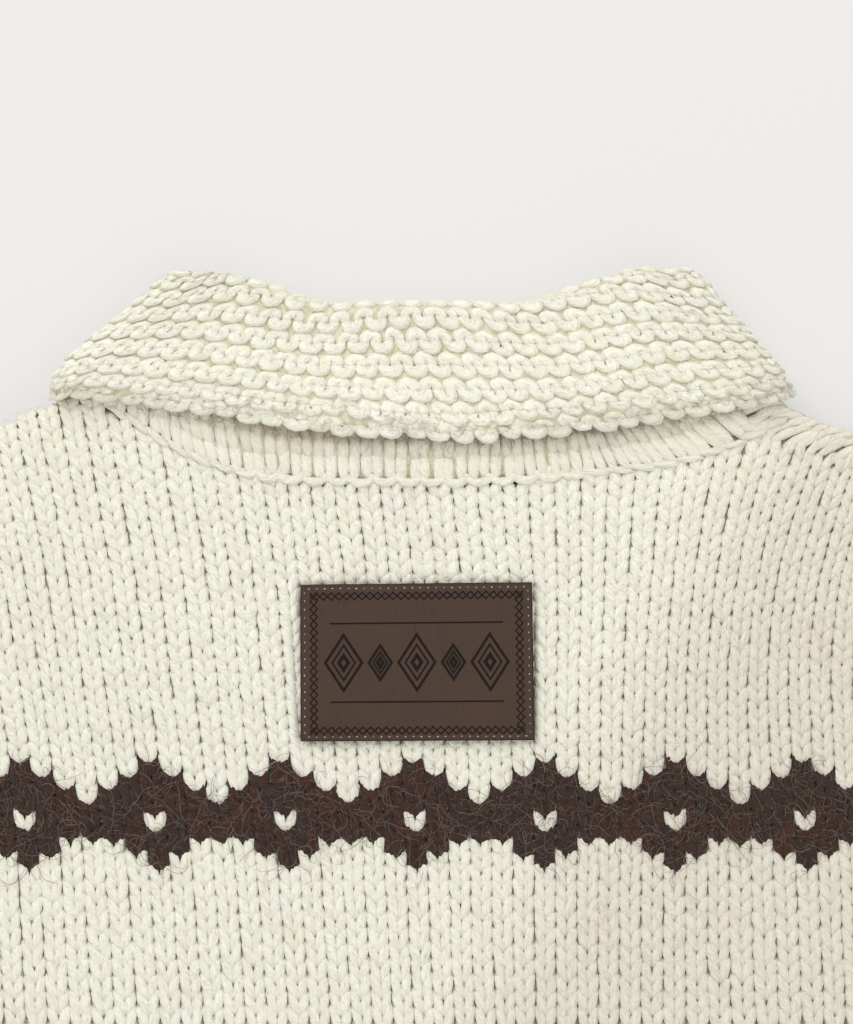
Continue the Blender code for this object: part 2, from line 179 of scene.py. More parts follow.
GARTER_ROWS = (  # share of the leaf's width at a ridge's middle, its height, and how untidy it is
    (-1.12, 8.2, 0.0),
    (-0.90, 8.2, 0.0),
    (-0.68, 8.2, 0.0),
    (-0.46, 8.2, 0.0),
    (-0.24, 8.2, 0.0),
    (-0.02, 8.2, 0.0),
    (0.19, 8.2, 0.0),
    (0.405, 8.4, 0.0),
    (0.62, 8.0, 0.1),
    (0.81, 7.2, 0.5),
    (0.965, 6.2, 1.0),
)
LEAF_LENGTH = 38.5  # from the fold to the free edge, at the back's middle
LEAF_END = 44.8  # and at its ends, where the ridges lie closer together
RIDGES_END = 0.80
# How much longer the leaf's left and right ends are, where it lies flat and where it turns.
CORNER = ((0.05, 0.02), (0.02, -0.085))
MEASURED_AT = 0.4  # places round the neck are measured along this share of the leaf


# --- Settings ---------------------------------------------------------------------------------


def length(name, description, default):
    return FloatProperty(name=name, description=description, default=default * MM, unit="LENGTH")


def measure(name, description, default, **rest):
    return FloatProperty(name=name, description=description, default=default, min=0, **rest)


def colour(name, description, default):
    return FloatVectorProperty(
        name=name, description=description, default=default, subtype="COLOR", size=3, min=0, max=1
    )


class KnitSettings(bpy.types.PropertyGroup):
    """Gauge and yarn of the pullover."""

    wale: length("Stitch width", "Distance from one column of stitches to the next", 6.77)
    course: length("Stitch height", "Distance from one row of stitches to the next", 4.42)
    yarn: length("Yarn radius", "Half the thickness of the cream yarn where it is fattest", 1.96)
    band_yarn: length("Band yarn radius", "Half the thickness of the brown yarn", 2.05)
    garter: length("Garter stitch width", "Distance from one bump of a collar ridge to the next", 7.35)
    uneven: measure("Unevenness", "How much one stitch differs from the next", 1.0, max=3)
    seed: IntProperty(name="Seed", description="Start of the random draws", default=11, min=0)


class FinishSettings(bpy.types.PropertyGroup):
    """Colours of the yarns and the leather."""

    cream: colour("Cream", "The main yarn where light falls on it", (0.965, 0.945, 0.795))
    # Painted shade: the cream yarn is darkened to this colour deep between the stitches, where less light
    # reaches.
    cream_painted_shade: colour("Cream shade", "The main yarn deep between the stitches", (0.50, 0.46, 0.31))
    blush: colour("Blush", "Faint pink blotches in the cream", (0.90, 0.83, 0.735))
    brown: colour("Brown", "The band's yarn", (0.052, 0.026, 0.019))
    # Painted shade: the band's yarn is darkened to this colour deep between its stitches; it is no yarn of
    # its own.
    brown_painted_shade: colour("Deep brown", "Darkest strands of the band", (0.010, 0.006, 0.005))
    brown_hair: colour("Brown hair", "Loose fibres over the band", (0.24, 0.160, 0.120))
    leather: colour("Leather", "Face of the patch", (0.070, 0.0435, 0.0325))
    leather_press: colour("Pressed leather", "Lines pressed into the patch", (0.010, 0.006, 0.005))
    thread: colour("Thread", "The patch's sewing thread", (0.55, 0.47, 0.38))


class StageSettings(bpy.types.PropertyGroup):
    """Floor, lights and camera."""

    floor: colour("Floor", "Plain pale floor", (0.86, 0.852, 0.838))
    sky: measure("Ambient light", "Strength of the even light", 0.755)
    key: measure("Key light", "Power of the soft light above the collar", 14.7, unit="POWER")
    height: measure("Camera height", "Camera above the cloth", 1.2, unit="LENGTH")


# --- Small mathematics ------------------------------------------------------------------------


def smooth(t):
    t = np.clip(t, 0.0, 1.0)
    return t * t * (3 - 2 * t)


def mix(a, b, t):
    return a + (b - a) * t


def sided(pair, x):
    """The left or right value of a pair, by the sign of x."""
    return np.where(np.asarray(x) > 0, pair[1], pair[0])


def in_grid(across, along):
    """Both coordinates of each place in a grid."""
    return np.meshgrid(across, along, indexing="ij")


def stretches(start, *ends):
    """Places along a line in even steps: each end comes with the steps that lead to it."""
    places = [[start]]
    for stop, count in ends:
        places.append(np.linspace(start, stop, count + 1)[1:])
        start = stop
    return np.concatenate(places)


def unit(vectors):
    return vectors / np.maximum(np.linalg.norm(vectors, axis=-1, keepdims=True), 1e-6)


def run_along(path):
    """Distance along lines of points from their first ones."""
    steps = np.linalg.norm(np.diff(path, axis=-2), axis=-1)
    return np.concatenate([np.zeros_like(steps[..., :1]), np.cumsum(steps, axis=-1)], axis=-1)


def together(x, y, h):
    """Points from coordinates that may each be the same all along some axis."""
    return np.stack(np.broadcast_arrays(x, y, h), -1)


def draws(count, *key):
    """Random numbers from 0 to 1 that depend only on the seed and the key."""
    return np.random.default_rng([knit().seed, *key]).random(count)


def swing(count, *key):
    """Random numbers from -1 to 1, scaled by the unevenness."""
    return (draws(count, *key) * 2 - 1) * knit().uneven


def sways(count, kinds, *key):
    """A column of such numbers for each kind of unevenness."""
    return [swing(count, *key, kind)[:, None] for kind in range(kinds)]


def knit():
    return bpy.context.scene.pullover_knit


def gauge():
    """Width and height of a stitch in millimetres."""
    return knit().wale / MM, knit().course / MM


def finish_settings():
    return bpy.context.scene.pullover_finish


# --- The cut in plan --------------------------------------------------------------------------


def neck_share(x):
    """How far out a place is, as a share of the neckline's half width."""
    return np.abs(x) / sided(NECK_HALF, x)


def beyond_neck(x):
    """0 within the neckline and 1 where the shoulder's edge rolls over in full."""
    return smooth((neck_share(x) - 1) / NECK_BLEND)


def below_arm(t):
    """1 below the armpit, where the body's sides are folded edges."""
    return 1 - smooth((t - ARMPIT_Y) / ROUND + 0.5)


def shoulder(x):
    by_neck = sided((2.4, 1.4), x) * smooth((134 - np.abs(x)) / 22)
    return sided(NECK_POINT, x) - SHOULDER_SLOPE * (np.abs(x) - sided(NECK_HALF, x)) + by_neck


def back_top(x):
    share = neck_share(x)
    dip = sided(NECK_POINT, x) * np.minimum(share, 1.0) ** NECK_POWER
    return np.where(share < 1, dip, shoulder(x))


def front_top(x):
    share = neck_share(x)
    dip = sided(NECK_POINT, x) - FRONT_DROP * (1 - np.minimum(share, 1.0) ** FRONT_POWER)
    return np.where(share < 1, dip, shoulder(x))


def half_width(y):
    return mix(BODY_HALF, HEM_HALF, smooth((HEM_JOIN_Y + HEM_DRAW_IN - y) / HEM_DRAW_IN))


def look_up(grid, u, v):
    """Values of a grid at places counted in its steps, straight between its points."""
    u = np.clip(u, 0, grid.shape[0] - 1.001)
    v = np.clip(v, 0, grid.shape[1] - 1.001)
    i, j = u.astype(int), v.astype(int)
    u, v = u - i, v - j
    near = grid[i, j] * (1 - u) + grid[i + 1, j] * u
    far = grid[i, j + 1] * (1 - u) + grid[i + 1, j + 1] * u
    return near * (1 - v) + far * v


def summed_leans():
    """Sideways shift of the columns from where they cross the band, by places across and up."""
    y = np.arange(LEAN_Y[0] - LEAN_START, LEAN_Y[-1] + 1, LEAN_UP)
    x = np.arange(-LEAN_HALF, LEAN_HALF + 1, LEAN_ACROSS)
    slopes = np.tan(np.radians(LEANS))
    rows = np.stack([np.interp(x, LEAN_X, row) for row in slopes])
    fine = np.stack([np.interp(y, LEAN_Y, column) for column in rows.T])
    fine = fine * smooth((y - y[0]) / LEAN_START)
    total = np.cumsum(fine, axis=1) * LEAN_UP
    return total - total[:, [int(np.searchsorted(y, BAND_MIDDLE))]]


def drift(x, y):
    """How far a column of the back stands aside at a height, from where it crosses the band."""
    x = np.asarray(x, float)
    near = 1 - smooth((np.abs(x) - 140) / 90)
    u, v = (x + LEAN_HALF) / LEAN_ACROSS, (y - LEAN_Y[0] + LEAN_START) / LEAN_UP
    return near * look_up(SHIFTS, u, v)


SHIFTS = summed_leans()


def chain_height(x):
    """Height of the neck seam across the back."""
    return np.interp(x, CHAIN_X, CHAIN_Y)


def knit_top(x):
    """Top of the back's own stitches: the neck seam, the right shoulder seam or the left shoulder."""
    spilt = SPILL * smooth((-x - NECK_HALF[0]) / 10)
    top = np.where(x < CHAIN_X[0], shoulder(x) + spilt, chain_height(x) - 0.6)
    return np.where(x > SEAM_FROM, np.minimum(top, shoulder(x) - SEAM_DROP), top)


def front_knit_top(x):
    return front_top(x) + SPILL * beyond_neck(x)


# --- Surfaces ---------------------------------------------------------------------------------


def neighbours(grid, **past_edge):
    """The four neighbours of each place of a grid."""
    wide = np.pad(grid, 1, **past_edge)
    return wide[:-2, 1:-1], wide[2:, 1:-1], wide[1:-1, :-2], wide[1:-1, 2:]


class Heights:
    """Height of the outer face of a solid over the plan, carried on level past its rolled edges."""

    STEP = 6.0
    RIM = 2  # grid steps in from an edge that are left out

    def __init__(self, node, under=False):
        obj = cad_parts[node]
        points = [v.co.copy() for v in obj.data.vertices]
        tree = BVHTree.FromPolygons(points, [tuple(p.vertices) for p in obj.data.polygons])
        low, high = (Vector(corner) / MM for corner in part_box(node))
        self.x0, self.y0 = low.x - self.STEP, low.y - self.STEP
        across = int((high.x - low.x) / self.STEP) + 4
        along = int((high.y - low.y) / self.STEP) + 4
        way = 1.0 if under else -1.0
        grid = np.full((across, along), np.nan)
        for i, j in np.ndindex(grid.shape):
            spot = Vector((self.x0 + i * self.STEP, self.y0 + j * self.STEP, 0)) * MM
            spot.z = -way
            hit = tree.ray_cast(spot, Vector((0, 0, way)))[0]
            if hit is not None:
                grid[i, j] = hit.z / MM
        self.grid = self.filled(grid)

    def filled(self, grid):
        """The grid without its rim, carried on outwards to its ends and smoothed a little."""
        known = ~np.isnan(grid)
        for _ in range(self.RIM):
            known = np.logical_and.reduce([known, *neighbours(known)])
        values = np.where(known, grid, 0.0)
        while not known.all():
            total, count = sum(neighbours(values)), sum(neighbours(known.astype(float)))
            fresh = ~known & (count > 0)
            values = np.where(fresh, total / np.maximum(count, 1), values)
            known = known | fresh
        for _ in range(2):
            values = sum(neighbours(values, mode="edge"), start=4 * values) / 8
        return values

    def at(self, x, y):
        """Height at places in plan, by straight steps between the grid's points."""
        u, v = (x + ORIGIN_X - self.x0) / self.STEP, (y + ORIGIN_Y - self.y0) / self.STEP
        return look_up(self.grid, u, v)


def roll_turn(over):
    """How far cloth has turned down by its distance past the start of a rolled edge."""
    return np.clip(over / QUARTER, 0, 1.08) * (math.pi / 2)


def rolled(distance, edge, amount=1.0):
    """Plan distance and turn of cloth at a distance from the middle, where it rolls over an edge."""
    size = np.abs(distance)
    turn = roll_turn(size - (edge - ROUND))
    round_size = np.minimum(size, edge - ROUND) + ROUND * np.sin(turn)
    return np.sign(distance) * mix(size, round_size, amount), turn * amount


def under_patch(x, y):
    """1 under the leather patch, which presses the knitting down, falling to 0 just outside it."""
    left, right, bottom, top = PATCH
    outside = np.maximum(np.maximum(left - x, x - right), np.maximum(bottom - y, y - top))
    return smooth(1 - (outside + 0.4) / 2.2)


def lifted(x, y, face, turn_x, turn_y, side, h, under):
    """Points at a distance h off cloth that rolls over by two turns. The face is its level height."""
    way = -1.0 if under else 1.0
    up = np.cos(turn_x) * np.cos(turn_y)
    middle = face - way * MIDDLE
    out_x = side * np.sin(turn_x)
    out_y = np.sin(turn_y)
    size = np.sqrt(out_x**2 + out_y**2 + up**2)
    z = middle + way * (MIDDLE * up + h * up / size)
    return np.stack([x + out_x / size * h, y + out_y / size * h, np.maximum(z, LOWEST)], axis=-1)


class BodyLayer:
    """The back, or the front beneath it. Column position s, height t and distance h give a point."""

    def __init__(self, under=False):
        self.under = under
        self.heights = Heights("front_panel" if under else "back_panel", under)

    def at(self, s, t, h):
        x = s if self.under else s + drift(s, t)
        half = half_width(t)
        x = x * half / BODY_HALF
        x, turn_x = rolled(x, half, below_arm(t))
        top, on_shoulder = shoulder(x), beyond_neck(x)
        turn_y = roll_turn(t - (top - ROUND)) * on_shoulder
        y = mix(t, np.minimum(t, top - ROUND) + ROUND * np.sin(turn_y), on_shoulder)
        face = self.heights.at(x, np.minimum(y, top))
        if not self.under:
            h = h - PATCH_PRESS * under_patch(x, y)
        return lifted(x, y, face, turn_x, turn_y, np.sign(s), h, self.under)


class TubeLayer:
    """One layer of a straight tube laid flat, such as a sleeve.

    t is the height above the tube's far end, and s the distance in from the edge that is first in
    across, which the columns follow. side is -1 for a mirrored tube.
    """

    def __init__(self, node, origin, up, edges, under=False, side=1):
        self.origin = np.array(origin)
        self.up = np.array(up)
        self.across = np.array((up[1], -up[0]))
        self.edges = edges
        self.under = under
        self.side = side
        self.heights = Heights(node, under)

    def plan(self, reach, t):
        return self.origin + self.up * t[..., None] + self.across * reach[..., None]

    def at(self, s, t, h):
        low, high = self.edges(t)
        middle = (low + high) / 2
        place, turn = rolled(high - s - middle, (high - low) / 2)
        plan = self.plan(place + middle, t)
        face = self.heights.at(self.side * plan[..., 0], plan[..., 1])
        zero = np.zeros_like(face)
        bare = lifted(zero, zero, face, turn, zero, np.sign(place), h, self.under)
        plan = plan + self.across * bare[..., :1]
        return np.concatenate([plan[..., :1] * self.side, plan[..., 1:], bare[..., 2:]], axis=-1)


def tube_stitches(layer, top, wale, course):
    """Bottom points of the stitches of one layer of a tube, up to a height."""
    low, high = layer.edges(np.array([0.0, top]))
    wide = float(np.max(high - low)) + SPILL
    places = in_grid(np.arange(wale / 2 - SPILL, wide, wale), np.arange(0.4, top, course))
    s, t = (v.ravel() for v in places)
    low, high = layer.edges(t)
    keep = s < high - low + SPILL - wale * 0.3
    return s[keep], t[keep]


# --- The collar's surfaces --------------------------------------------------------------------


def fold_line(share, back):
    """Where the collar folds, from its left (a share of -1) to its right (1), at the back or front."""
    x = share * sided(PEAK, share)
    peak = sided(PEAK_Y, share)
    risen = smooth((np.abs(share) - FOLD_FLAT) / (FOLD_RISEN - FOLD_FLAT))
    back_y = mix(FOLD_MID_Y, peak, risen)
    front_y = mix(FRONT_FOLD_Y, peak, np.abs(share) ** 2)
    return np.stack([x, np.where(back, back_y, front_y)], axis=-1)


def leaf_edge(share, back):
    """The leaf's free edge, in the same terms as the fold."""
    x = share * sided(EDGE, share) + EDGE_MID_X * (1 - np.abs(share))
    side_y = sided(EDGE_Y, share)
    back_y = mix(EDGE_MID_Y, side_y, np.abs(share) ** EDGE_POWER)
    front_y = mix(FRONT_EDGE_Y, side_y, np.abs(share) ** FRONT_EDGE_POWER)
    return np.stack([x, np.where(back, back_y, front_y)], axis=-1)


def neck_line(share, back):
    """Where the stand rises from the neckline, in the same terms."""
    x = share * sided(NECK_HALF, share)
    return np.stack([x, np.where(back, back_top(x) + 0.45, front_top(x) + 0.9)], axis=-1)


def collar_station(q):
    """Share, whether at the back, and turn in radians, at a place round the neck.

    The back runs from -1 to 1, then come the right side up to 1.3, the front up to 3.3 and the left
    side up to 3.6, where the back starts again.
    """
    q = np.mod(q + 1.0, 4 + 2 * SIDE_TURN) - 1.0
    parts = [q < 1, q < 1 + SIDE_TURN, q < 3 + SIDE_TURN]
    one = np.ones_like(q)
    share = np.select(parts, [q, one, 2 + SIDE_TURN - q], -one)
    to_front, to_back = 90 - (q - 1) / SIDE_TURN * 180, -90 + (q - 3 - SIDE_TURN) / SIDE_TURN * 180
    turn = np.select(parts, [90 * one, to_front, -90 * one], to_back)
    return share, q < 1 + SIDE_TURN / 2, np.radians(turn)


def collar_at(q, start, stop, out_start, out_stop, t, radius, bow=None):
    """A point between two lines of the collar at a distance from the flattened ring's middle."""
    share, back, turn = collar_station(q)
    a, b = start(share, back), stop(share, back)
    plan = a + (b - a) * t[..., None]
    side = np.sign(share)
    out = unit(mix(np.array(out_start), np.array(out_stop), np.clip(t, 0, 1)[..., None]))
    out = out * np.stack([side, np.ones_like(side)], axis=-1)
    bulge = np.where(np.abs(turn) < math.pi / 2 - 1e-6, np.cos(turn), 0.0)
    swell = radius * bulge
    if bow is not None:
        swell = swell + sided(bow, share) * bulge * np.sin(math.pi * np.clip(t, 0, 1) ** 1.9)
    plan = plan + out * swell[..., None]
    z = LIFT + MIDDLE + radius * np.sin(turn)
    low = fold_line(share, np.zeros_like(back))[..., 1] + FRONT_FOLD_COVER
    high = fold_line(share, np.ones_like(back))[..., 1]
    reach = np.where(high > low, (plan[..., 1] - low) / np.maximum(high - low, 1e-3), 0.0)
    level = smooth((turn - math.pi / 3) / (math.pi / 6))
    sag = COLLAR_SAG * (1 - np.abs(share) ** 3) * smooth(reach) * np.where(back, level, 0.0)
    return np.concatenate([plan, np.maximum(z - sag, LOWEST)[..., None]], axis=-1)


def in_leaf(q, t, radius):
    """A point of the leaf, from the fold (0) to the free edge (1)."""
    return collar_at(q, fold_line, leaf_edge, OUT_FOLD, OUT_EDGE, t, radius, COLLAR_BOW)


def over_fold(q, radius, turn):
    """A point at a turn over the fold: 0 on the leaf's side, and a half turn on the stand's."""
    share, back, _ = collar_station(q)
    point = in_leaf(q, np.zeros_like(q), HINGE + radius * np.cos(turn))
    off = unit(fold_line(share, back) - (leaf_edge(share, back) + neck_line(share, back)) / 2)
    point[..., :2] += off * (radius * np.sin(turn))[..., None]
    return point


def leaf_at(q, t, h):
    """The leaf's outer face: t is 0 at the fold and 1 at the free edge, and negative over the fold."""
    arm = LEAF_OUT - HINGE + h
    turn = np.minimum(t, 0.0) * -FOLD_ARC / HINGE
    return np.where(t[..., None] < 0, over_fold(q, arm, turn), in_leaf(q, np.maximum(t, 0.0), HINGE + arm))


# --- Meshes -----------------------------------------------------------------------------------

YARN_TWIST = 24  # millimetres of yarn to a turn of its twist
CELL_RIM = 0.04  # bare share at each side of a strand's cell in the baked layout
FLAT_BENEATH = 0.55  # height of a strand's lower half, as a share of its upper one's
DEEP_BY = 3.2  # painted shade is full this far below where it starts
SQUARE_WIDE = 1.26  # a strand of four sides is wider, so that it fills as much as a round one


def to_frame(points):
    """Plan millimetres to the frame's metres."""
    return (np.asarray(points).reshape(-1, 3) + np.array((ORIGIN_X, ORIGIN_Y, 0.0))) * MM


def put(name, data):
    """A new object in the scene."""
    obj = bpy.data.objects.new(name, data)
    bpy.context.scene.collection.objects.link(obj)
    return obj


def new_object(name, mesh, material):
    mesh.materials.append(material)
    obj = put(name, mesh)
    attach(obj, "root")
    return obj


def fill_mesh(name, points, corners, starts):
    """A smooth mesh from its points in plan, its faces' corners, and where each face starts."""
    mesh = bpy.data.meshes.new(name)
    mesh.vertices.add(len(points))
    mesh.vertices.foreach_set("co", to_frame(points).astype(np.float32).ravel())
    mesh.loops.add(len(corners))
    mesh.loops.foreach_set("vertex_index", corners.astype(np.int32))
    mesh.polygons.add(len(starts))
    mesh.polygons.foreach_set("loop_start", starts.astype(np.int32))
    mesh.update(calc_edges=True)
    mesh.polygons.foreach_set("use_smooth", np.ones(len(starts), bool))
    return mesh


def put_map(mesh, name, uv):
    layer = mesh.uv_layers.new(name=name)
    layer.data.foreach_set("uv", uv.astype(np.float32).ravel())


def put_value(mesh, name, values):
    layer = mesh.attributes.new(name, "FLOAT", "POINT")
    layer.data.foreach_set("value", values.astype(np.float32))


def strand_faces(r, c):
    """Faces of one strand of r rings of c points, then its tips.

    Returns the faces' corners and sizes, and each corner's place along and round the strand.
    """
    ring = np.arange(c)
    after = (ring + 1) % c
    line = np.arange(r - 1)[:, None] * c
    last = (r - 1) * c
    quads = [line + ring, line + after, line + c + after, line + c + ring]
    head = [np.full(c, r * c), after, ring]
    tail = [np.full(c, r * c + 1), last + ring, last + after]
    row, k = np.broadcast_arrays(np.arange(1, r)[:, None], ring)
    one = np.ones(c)
    along = [(row, row, row + 1, row + 1), (0 * one, one, one), ((r + 1) * one, r * one, r * one)]
    round_it = [(k, k + 1, k + 1, k), (ring + 0.5, ring + 1, ring), (ring + 0.5, ring, ring + 1)]

    def joined(parts):
        return np.concatenate([np.stack(part, -1).ravel() for part in parts])

    sizes = np.concatenate([np.full((r - 1) * c, 4), np.full(2 * c, 3)])
    return joined([quads, head, tail]), sizes, joined(along).astype(int), joined(round_it) / c


class Yarn:
    """Gathers closed strands into one mesh. Each strand has a tip, some rings and a tip."""

    def __init__(self):
        self.batches = []

    def add(self, tips, rings, along, tone, wool, deep, tip_deep=1.0):
        """Adds n strands of r rings of c points.

        tips (n, 2, 3), rings (n, r, c, 3), along (n, r + 2) in mm, tone and wool (n,), deep (n, r, c).
        """
        first = rings[:, 0]
        turn = np.cross(first[:, 1] - first[:, 0], first[:, 2] - first[:, 0])
        if np.sum(turn * (first.mean(axis=1) - tips[:, 0])) < 0:  # the cloth's face is mirrored
            rings, deep = rings[:, :, ::-1], deep[:, :, ::-1]
        ends = np.full((len(tips), 2), tip_deep)
        self.batches.append((tips, rings, along, tone, wool, deep, ends))

    def build(self, name, slot, material=None):
        points, corners, starts, lays, yarns = [], [], [], [], []
        # deep holds how much painted shade each point gets, from how far below the cloth's face it lies.
        values = {"tone": [], "wool": [], "deep": []}
        columns = math.ceil(math.sqrt(sum(len(tips) for tips, *_ in self.batches)))
        first_point, first_corner, first_strand = 0, 0, 0
        for tips, rings, along, tone, wool, deep, ends in self.batches:
            n, r, c = rings.shape[:3]
            each = r * c + 2
            number = np.arange(n)[:, None]
            faces, sizes, level, turn = strand_faces(r, c)
            points.append(np.concatenate([rings.reshape(n, r * c, 3), tips], axis=1).reshape(-1, 3))
            corners.append((faces + first_point + number * each).ravel())
            begin = np.cumsum(sizes) - sizes
            starts.append((begin + first_corner + number * len(faces)).ravel())
            distance = along[:, level]
            offset = wool[:, None] * 97.0  # sets each strand on its own stretch of the yarn
            twisted = turn + distance / YARN_TWIST + np.floor(offset)
            yarns.append(np.stack([distance + offset, twisted], -1).reshape(-1, 2))
            strand = first_strand + number
            lay_u = (strand % columns + CELL_RIM + (1 - 2 * CELL_RIM) * level / (r + 1)) / columns
            lay_v = (strand // columns + CELL_RIM + (1 - 2 * CELL_RIM) * turn) / columns
            lays.append(np.stack([lay_u, lay_v], -1).reshape(-1, 2))
            values["tone"].append(np.repeat(tone, each))
            values["wool"].append(np.repeat(wool, each))
            values["deep"].append(np.concatenate([deep.reshape(n, r * c), ends], 1).ravel())
            first_point += n * each
            first_corner += n * len(faces)
            first_strand += n
        mesh = fill_mesh(name, np.concatenate(points), np.concatenate(corners), np.concatenate(starts))
        put_map(mesh, "OFBake", np.concatenate(lays))
        put_map(mesh, "Yarn", np.concatenate(yarns))
        for key, parts in values.items():
            put_value(mesh, key, np.concatenate(parts))
        return new_object(name, mesh, material or alpaca_yarn())


def ring_shape(sides):
    """Across and up shares of a strand's section, flatter beneath. A square one lies on its side."""
    start, wide = (math.pi / 4, SQUARE_WIDE) if sides == 4 else (math.pi / 2, 1.0)
    turn = start + 2 * math.pi * np.arange(sides) / sides
    up = np.sin(turn)
    return wide * np.cos(turn), np.where(up > 0, up, FLAT_BENEATH * up)


def scatter(*places):
    """Repeatable noise from -1 to 1 that differs from one point to the next."""
    mixed = sum(place * factor for place, factor in zip(places, (12.9898, 78.233, 37.719)))
    return np.modf(np.sin(mixed) * 43758.5453)[0]


def strands(
    yarn, place, path, radius, sides, tone, wool, squash=0.9, deep_from=0.2, rough=0.0, tip_deep=1.0
):
    """Adds strands whose middle lines are given in cloth coordinates.

    path is (n, k, 3): across, along and off the cloth. radius is (n, k), and its ends are tips. A
    strand gets painted shade below the height deep_from, and more the deeper it lies.
    """
    flow = unit(np.gradient(path[..., :2], axis=1))
    across, up = ring_shape(sides)
    mid, size = path[:, 1:-1], radius[:, 1:-1, None]
    side = np.stack([flow[:, 1:-1, 1], -flow[:, 1:-1, 0]], -1)
    s = mid[..., None, 0] + side[..., None, 0] * across * size
    t = mid[..., None, 1] + side[..., None, 1] * across * size
    h = mid[..., None, 2] + up * size * squash
    s, t, h = (v + rough * scatter(s + k, t, h) for k, v in enumerate((s, t, h)))
    rings = place(s, t, h)
    tips = place(*np.moveaxis(path[:, [0, -1]], -1, 0))
    deep = np.clip((deep_from - h) / DEEP_BY, 0, 1)
    yarn.add(tips, rings, run_along(path), tone, wool, deep, tip_deep)


# --- Stitches ---------------------------------------------------------------------------------

FINE, COARSE, PLAIN = "fine", "coarse", "plain"
LEG_SHARES = {
    FINE: np.array([0, 0.05, 0.16, 0.3, 0.46, 0.63, 0.8, 0.93, 1.0]),
    COARSE: np.array([-0.1, 0.45, 1.12]),
    PLAIN: np.array([0, 0.42, 1.0]),
}
# Sides of a leg, how much it bows out and is fatter, its flatness and roughness, and its tips' painted
# shade.
LEG_FORMS = {
    FINE: (6, 0.0, 1.0, 0.74, 0.16, 1.0),
    COARSE: (4, 0.05, 1.1, 0.7, 0.0, 0.3),
    PLAIN: (3, 0.05, 1.1, 0.7, 0.0, 0.3),
}
STITCH_TALL = 2.12  # height of a stitch's legs in courses, since each reaches behind the next


def leg_path(share):
    """Across (in stitch widths), up (0 to 1) and off the cloth (mm) along one leg of a stitch."""
    across = 0.04 + 0.388 * share
    rise = -1.2 * (1 - smooth(share / 0.22)) - 1.4 * smooth((share - 0.8) / 0.2)
    return across, share, rise


def taper(share, trim=0.0, power=0.5):
    """How thick a strand is along it, full in the middle. More trim leaves its ends thicker."""
    return np.clip(np.sin(math.pi * (share * (1 - 2 * trim) + trim)), 0, 1) ** power


def stitches(yarn, place, s, t, wale, course, tone, detail, key):
    """Knit stitches, each two legs that rise and spread from its bottom point at (s, t)."""
    share = LEG_SHARES[detail]
    sides, bow, fatter, squash, rough, tip_deep = LEG_FORMS[detail]
    n = len(s)
    lean_over, lean_out, taller, wider, aside, higher, raised = sways(n, 7, key)
    across, up, rise = leg_path(share)
    across = across + bow * np.sin(math.pi * share)
    yarn_size = mix(knit().yarn, knit().band_yarn, tone) / MM * fatter
    sink = mix(-1.25, -1.5, tone)[:, None] + 0.16 * raised
    for leg, side in enumerate((-1, 1)):
        lean = 0.10 * lean_over + 0.12 * lean_out * side
        stretch = 1 + 0.05 * taller + 0.03 * swing(n, key, 20 + leg)[:, None]
        x = s[:, None] + side * across * wale[:, None] * (1 + 0.05 * wider)
        x = x + 0.22 * aside + lean * up
        y = t[:, None] + up * (STITCH_TALL * course[:, None] * stretch) + 0.3 * higher
        size = yarn_size * (1 + 0.06 * swing(n, key, 30 + leg))
        radius = 0.95 * taper(share, 0.01, 0.6) * size[:, None]
        path = together(x, y, rise + sink)
        wool = draws(n, key, 40 + leg)
        strands(yarn, place, path, radius, sides, tone, wool, squash, rough=rough, tip_deep=tip_deep)


def underlay(yarn, place, s, t, course, key):
    """Brown floats behind the band, so that no cream shows between its stitches."""
    n = len(s)
    share = np.array([-0.25, 0.1, 0.9, 1.25])
    y = t[:, None] + share * course[:, None]
    path = together(s[:, None], y, -2.75)
    radius = np.full_like(y, 4.1)
    strands(yarn, place, path, radius, 6, np.ones(n), draws(n, key), 0.2, -1.8)


def rows_of_body():
    """Height and course of each row of the body, with its number counted up from the band."""
    _, course = gauge()
    rows = []
    y, n = BAND_Y, 0
    top = max(NECK_POINT) + 2
    while y < top:
        step = BAND_COURSE if n < BAND_TALL else course - 0.3 * float(smooth((y + 60) / 60))
        rows.append((n, y, step))
        y += step
        n += 1
    y, n = BAND_Y, 0
    while y > HEM_JOIN_Y:
        step = course + 0.55 * float(smooth((y + 230) / 70))
        y -= step
        n -= 1
        rows.append((n, y, step))
    return sorted(rows)


def band_tone(column, row):
    """1 where the chart is brown. Rows count up from the band's lowest."""
    lines = np.array([[c == "B" for c in line] for line in BAND_ROWS[::-1]], float)
    inside = (row >= 0) & (row < len(BAND_ROWS))
    return np.where(inside, lines[np.clip(row, 0, len(BAND_ROWS) - 1), np.mod(column + 2, 6)], 0.0)


def body_stitches(layer, top_edge):
    """Places, sizes and colours of every stitch of one body panel."""
    wale, _ = gauge()
    rows = rows_of_body()
    reach = int((BODY_HALF + SPILL) / wale) + 2
    places = in_grid(np.arange(-reach, reach + 1), np.arange(len(rows)))
    column, index = (v.ravel() for v in places)
    number, y, course = (np.array(v) for v in zip(*rows))
    s = BAND_SHIFT + column * wale
    t, step, row = y[index].astype(float), course[index].astype(float), number[index].astype(int)
    x = s if layer.under else s + drift(s, t)
    limit = BODY_HALF + SPILL * below_arm(t) - 1.2
    spare = np.where(layer.under | (x < CHAIN_X[0]), 1.45, 0.85)
    keep = (np.abs(x) < limit) & (t < top_edge(x) - spare * step) & (t > HEM_JOIN_Y - 1.0)
    tone = band_tone(column, row)
    return s[keep], t[keep], step[keep], tone[keep], x[keep]


# --- Materials --------------------------------------------------------------------------------


def maths(operation, reflected=False):
    """A method that adds one Math node to the socket it belongs to."""

    def method(self, *others):
        values = (self, *others)
        inputs = dict(enumerate(values[::-1] if reflected else values))
        return self.made.value("ShaderNodeMath", {"operation": operation}, inputs)

    return method


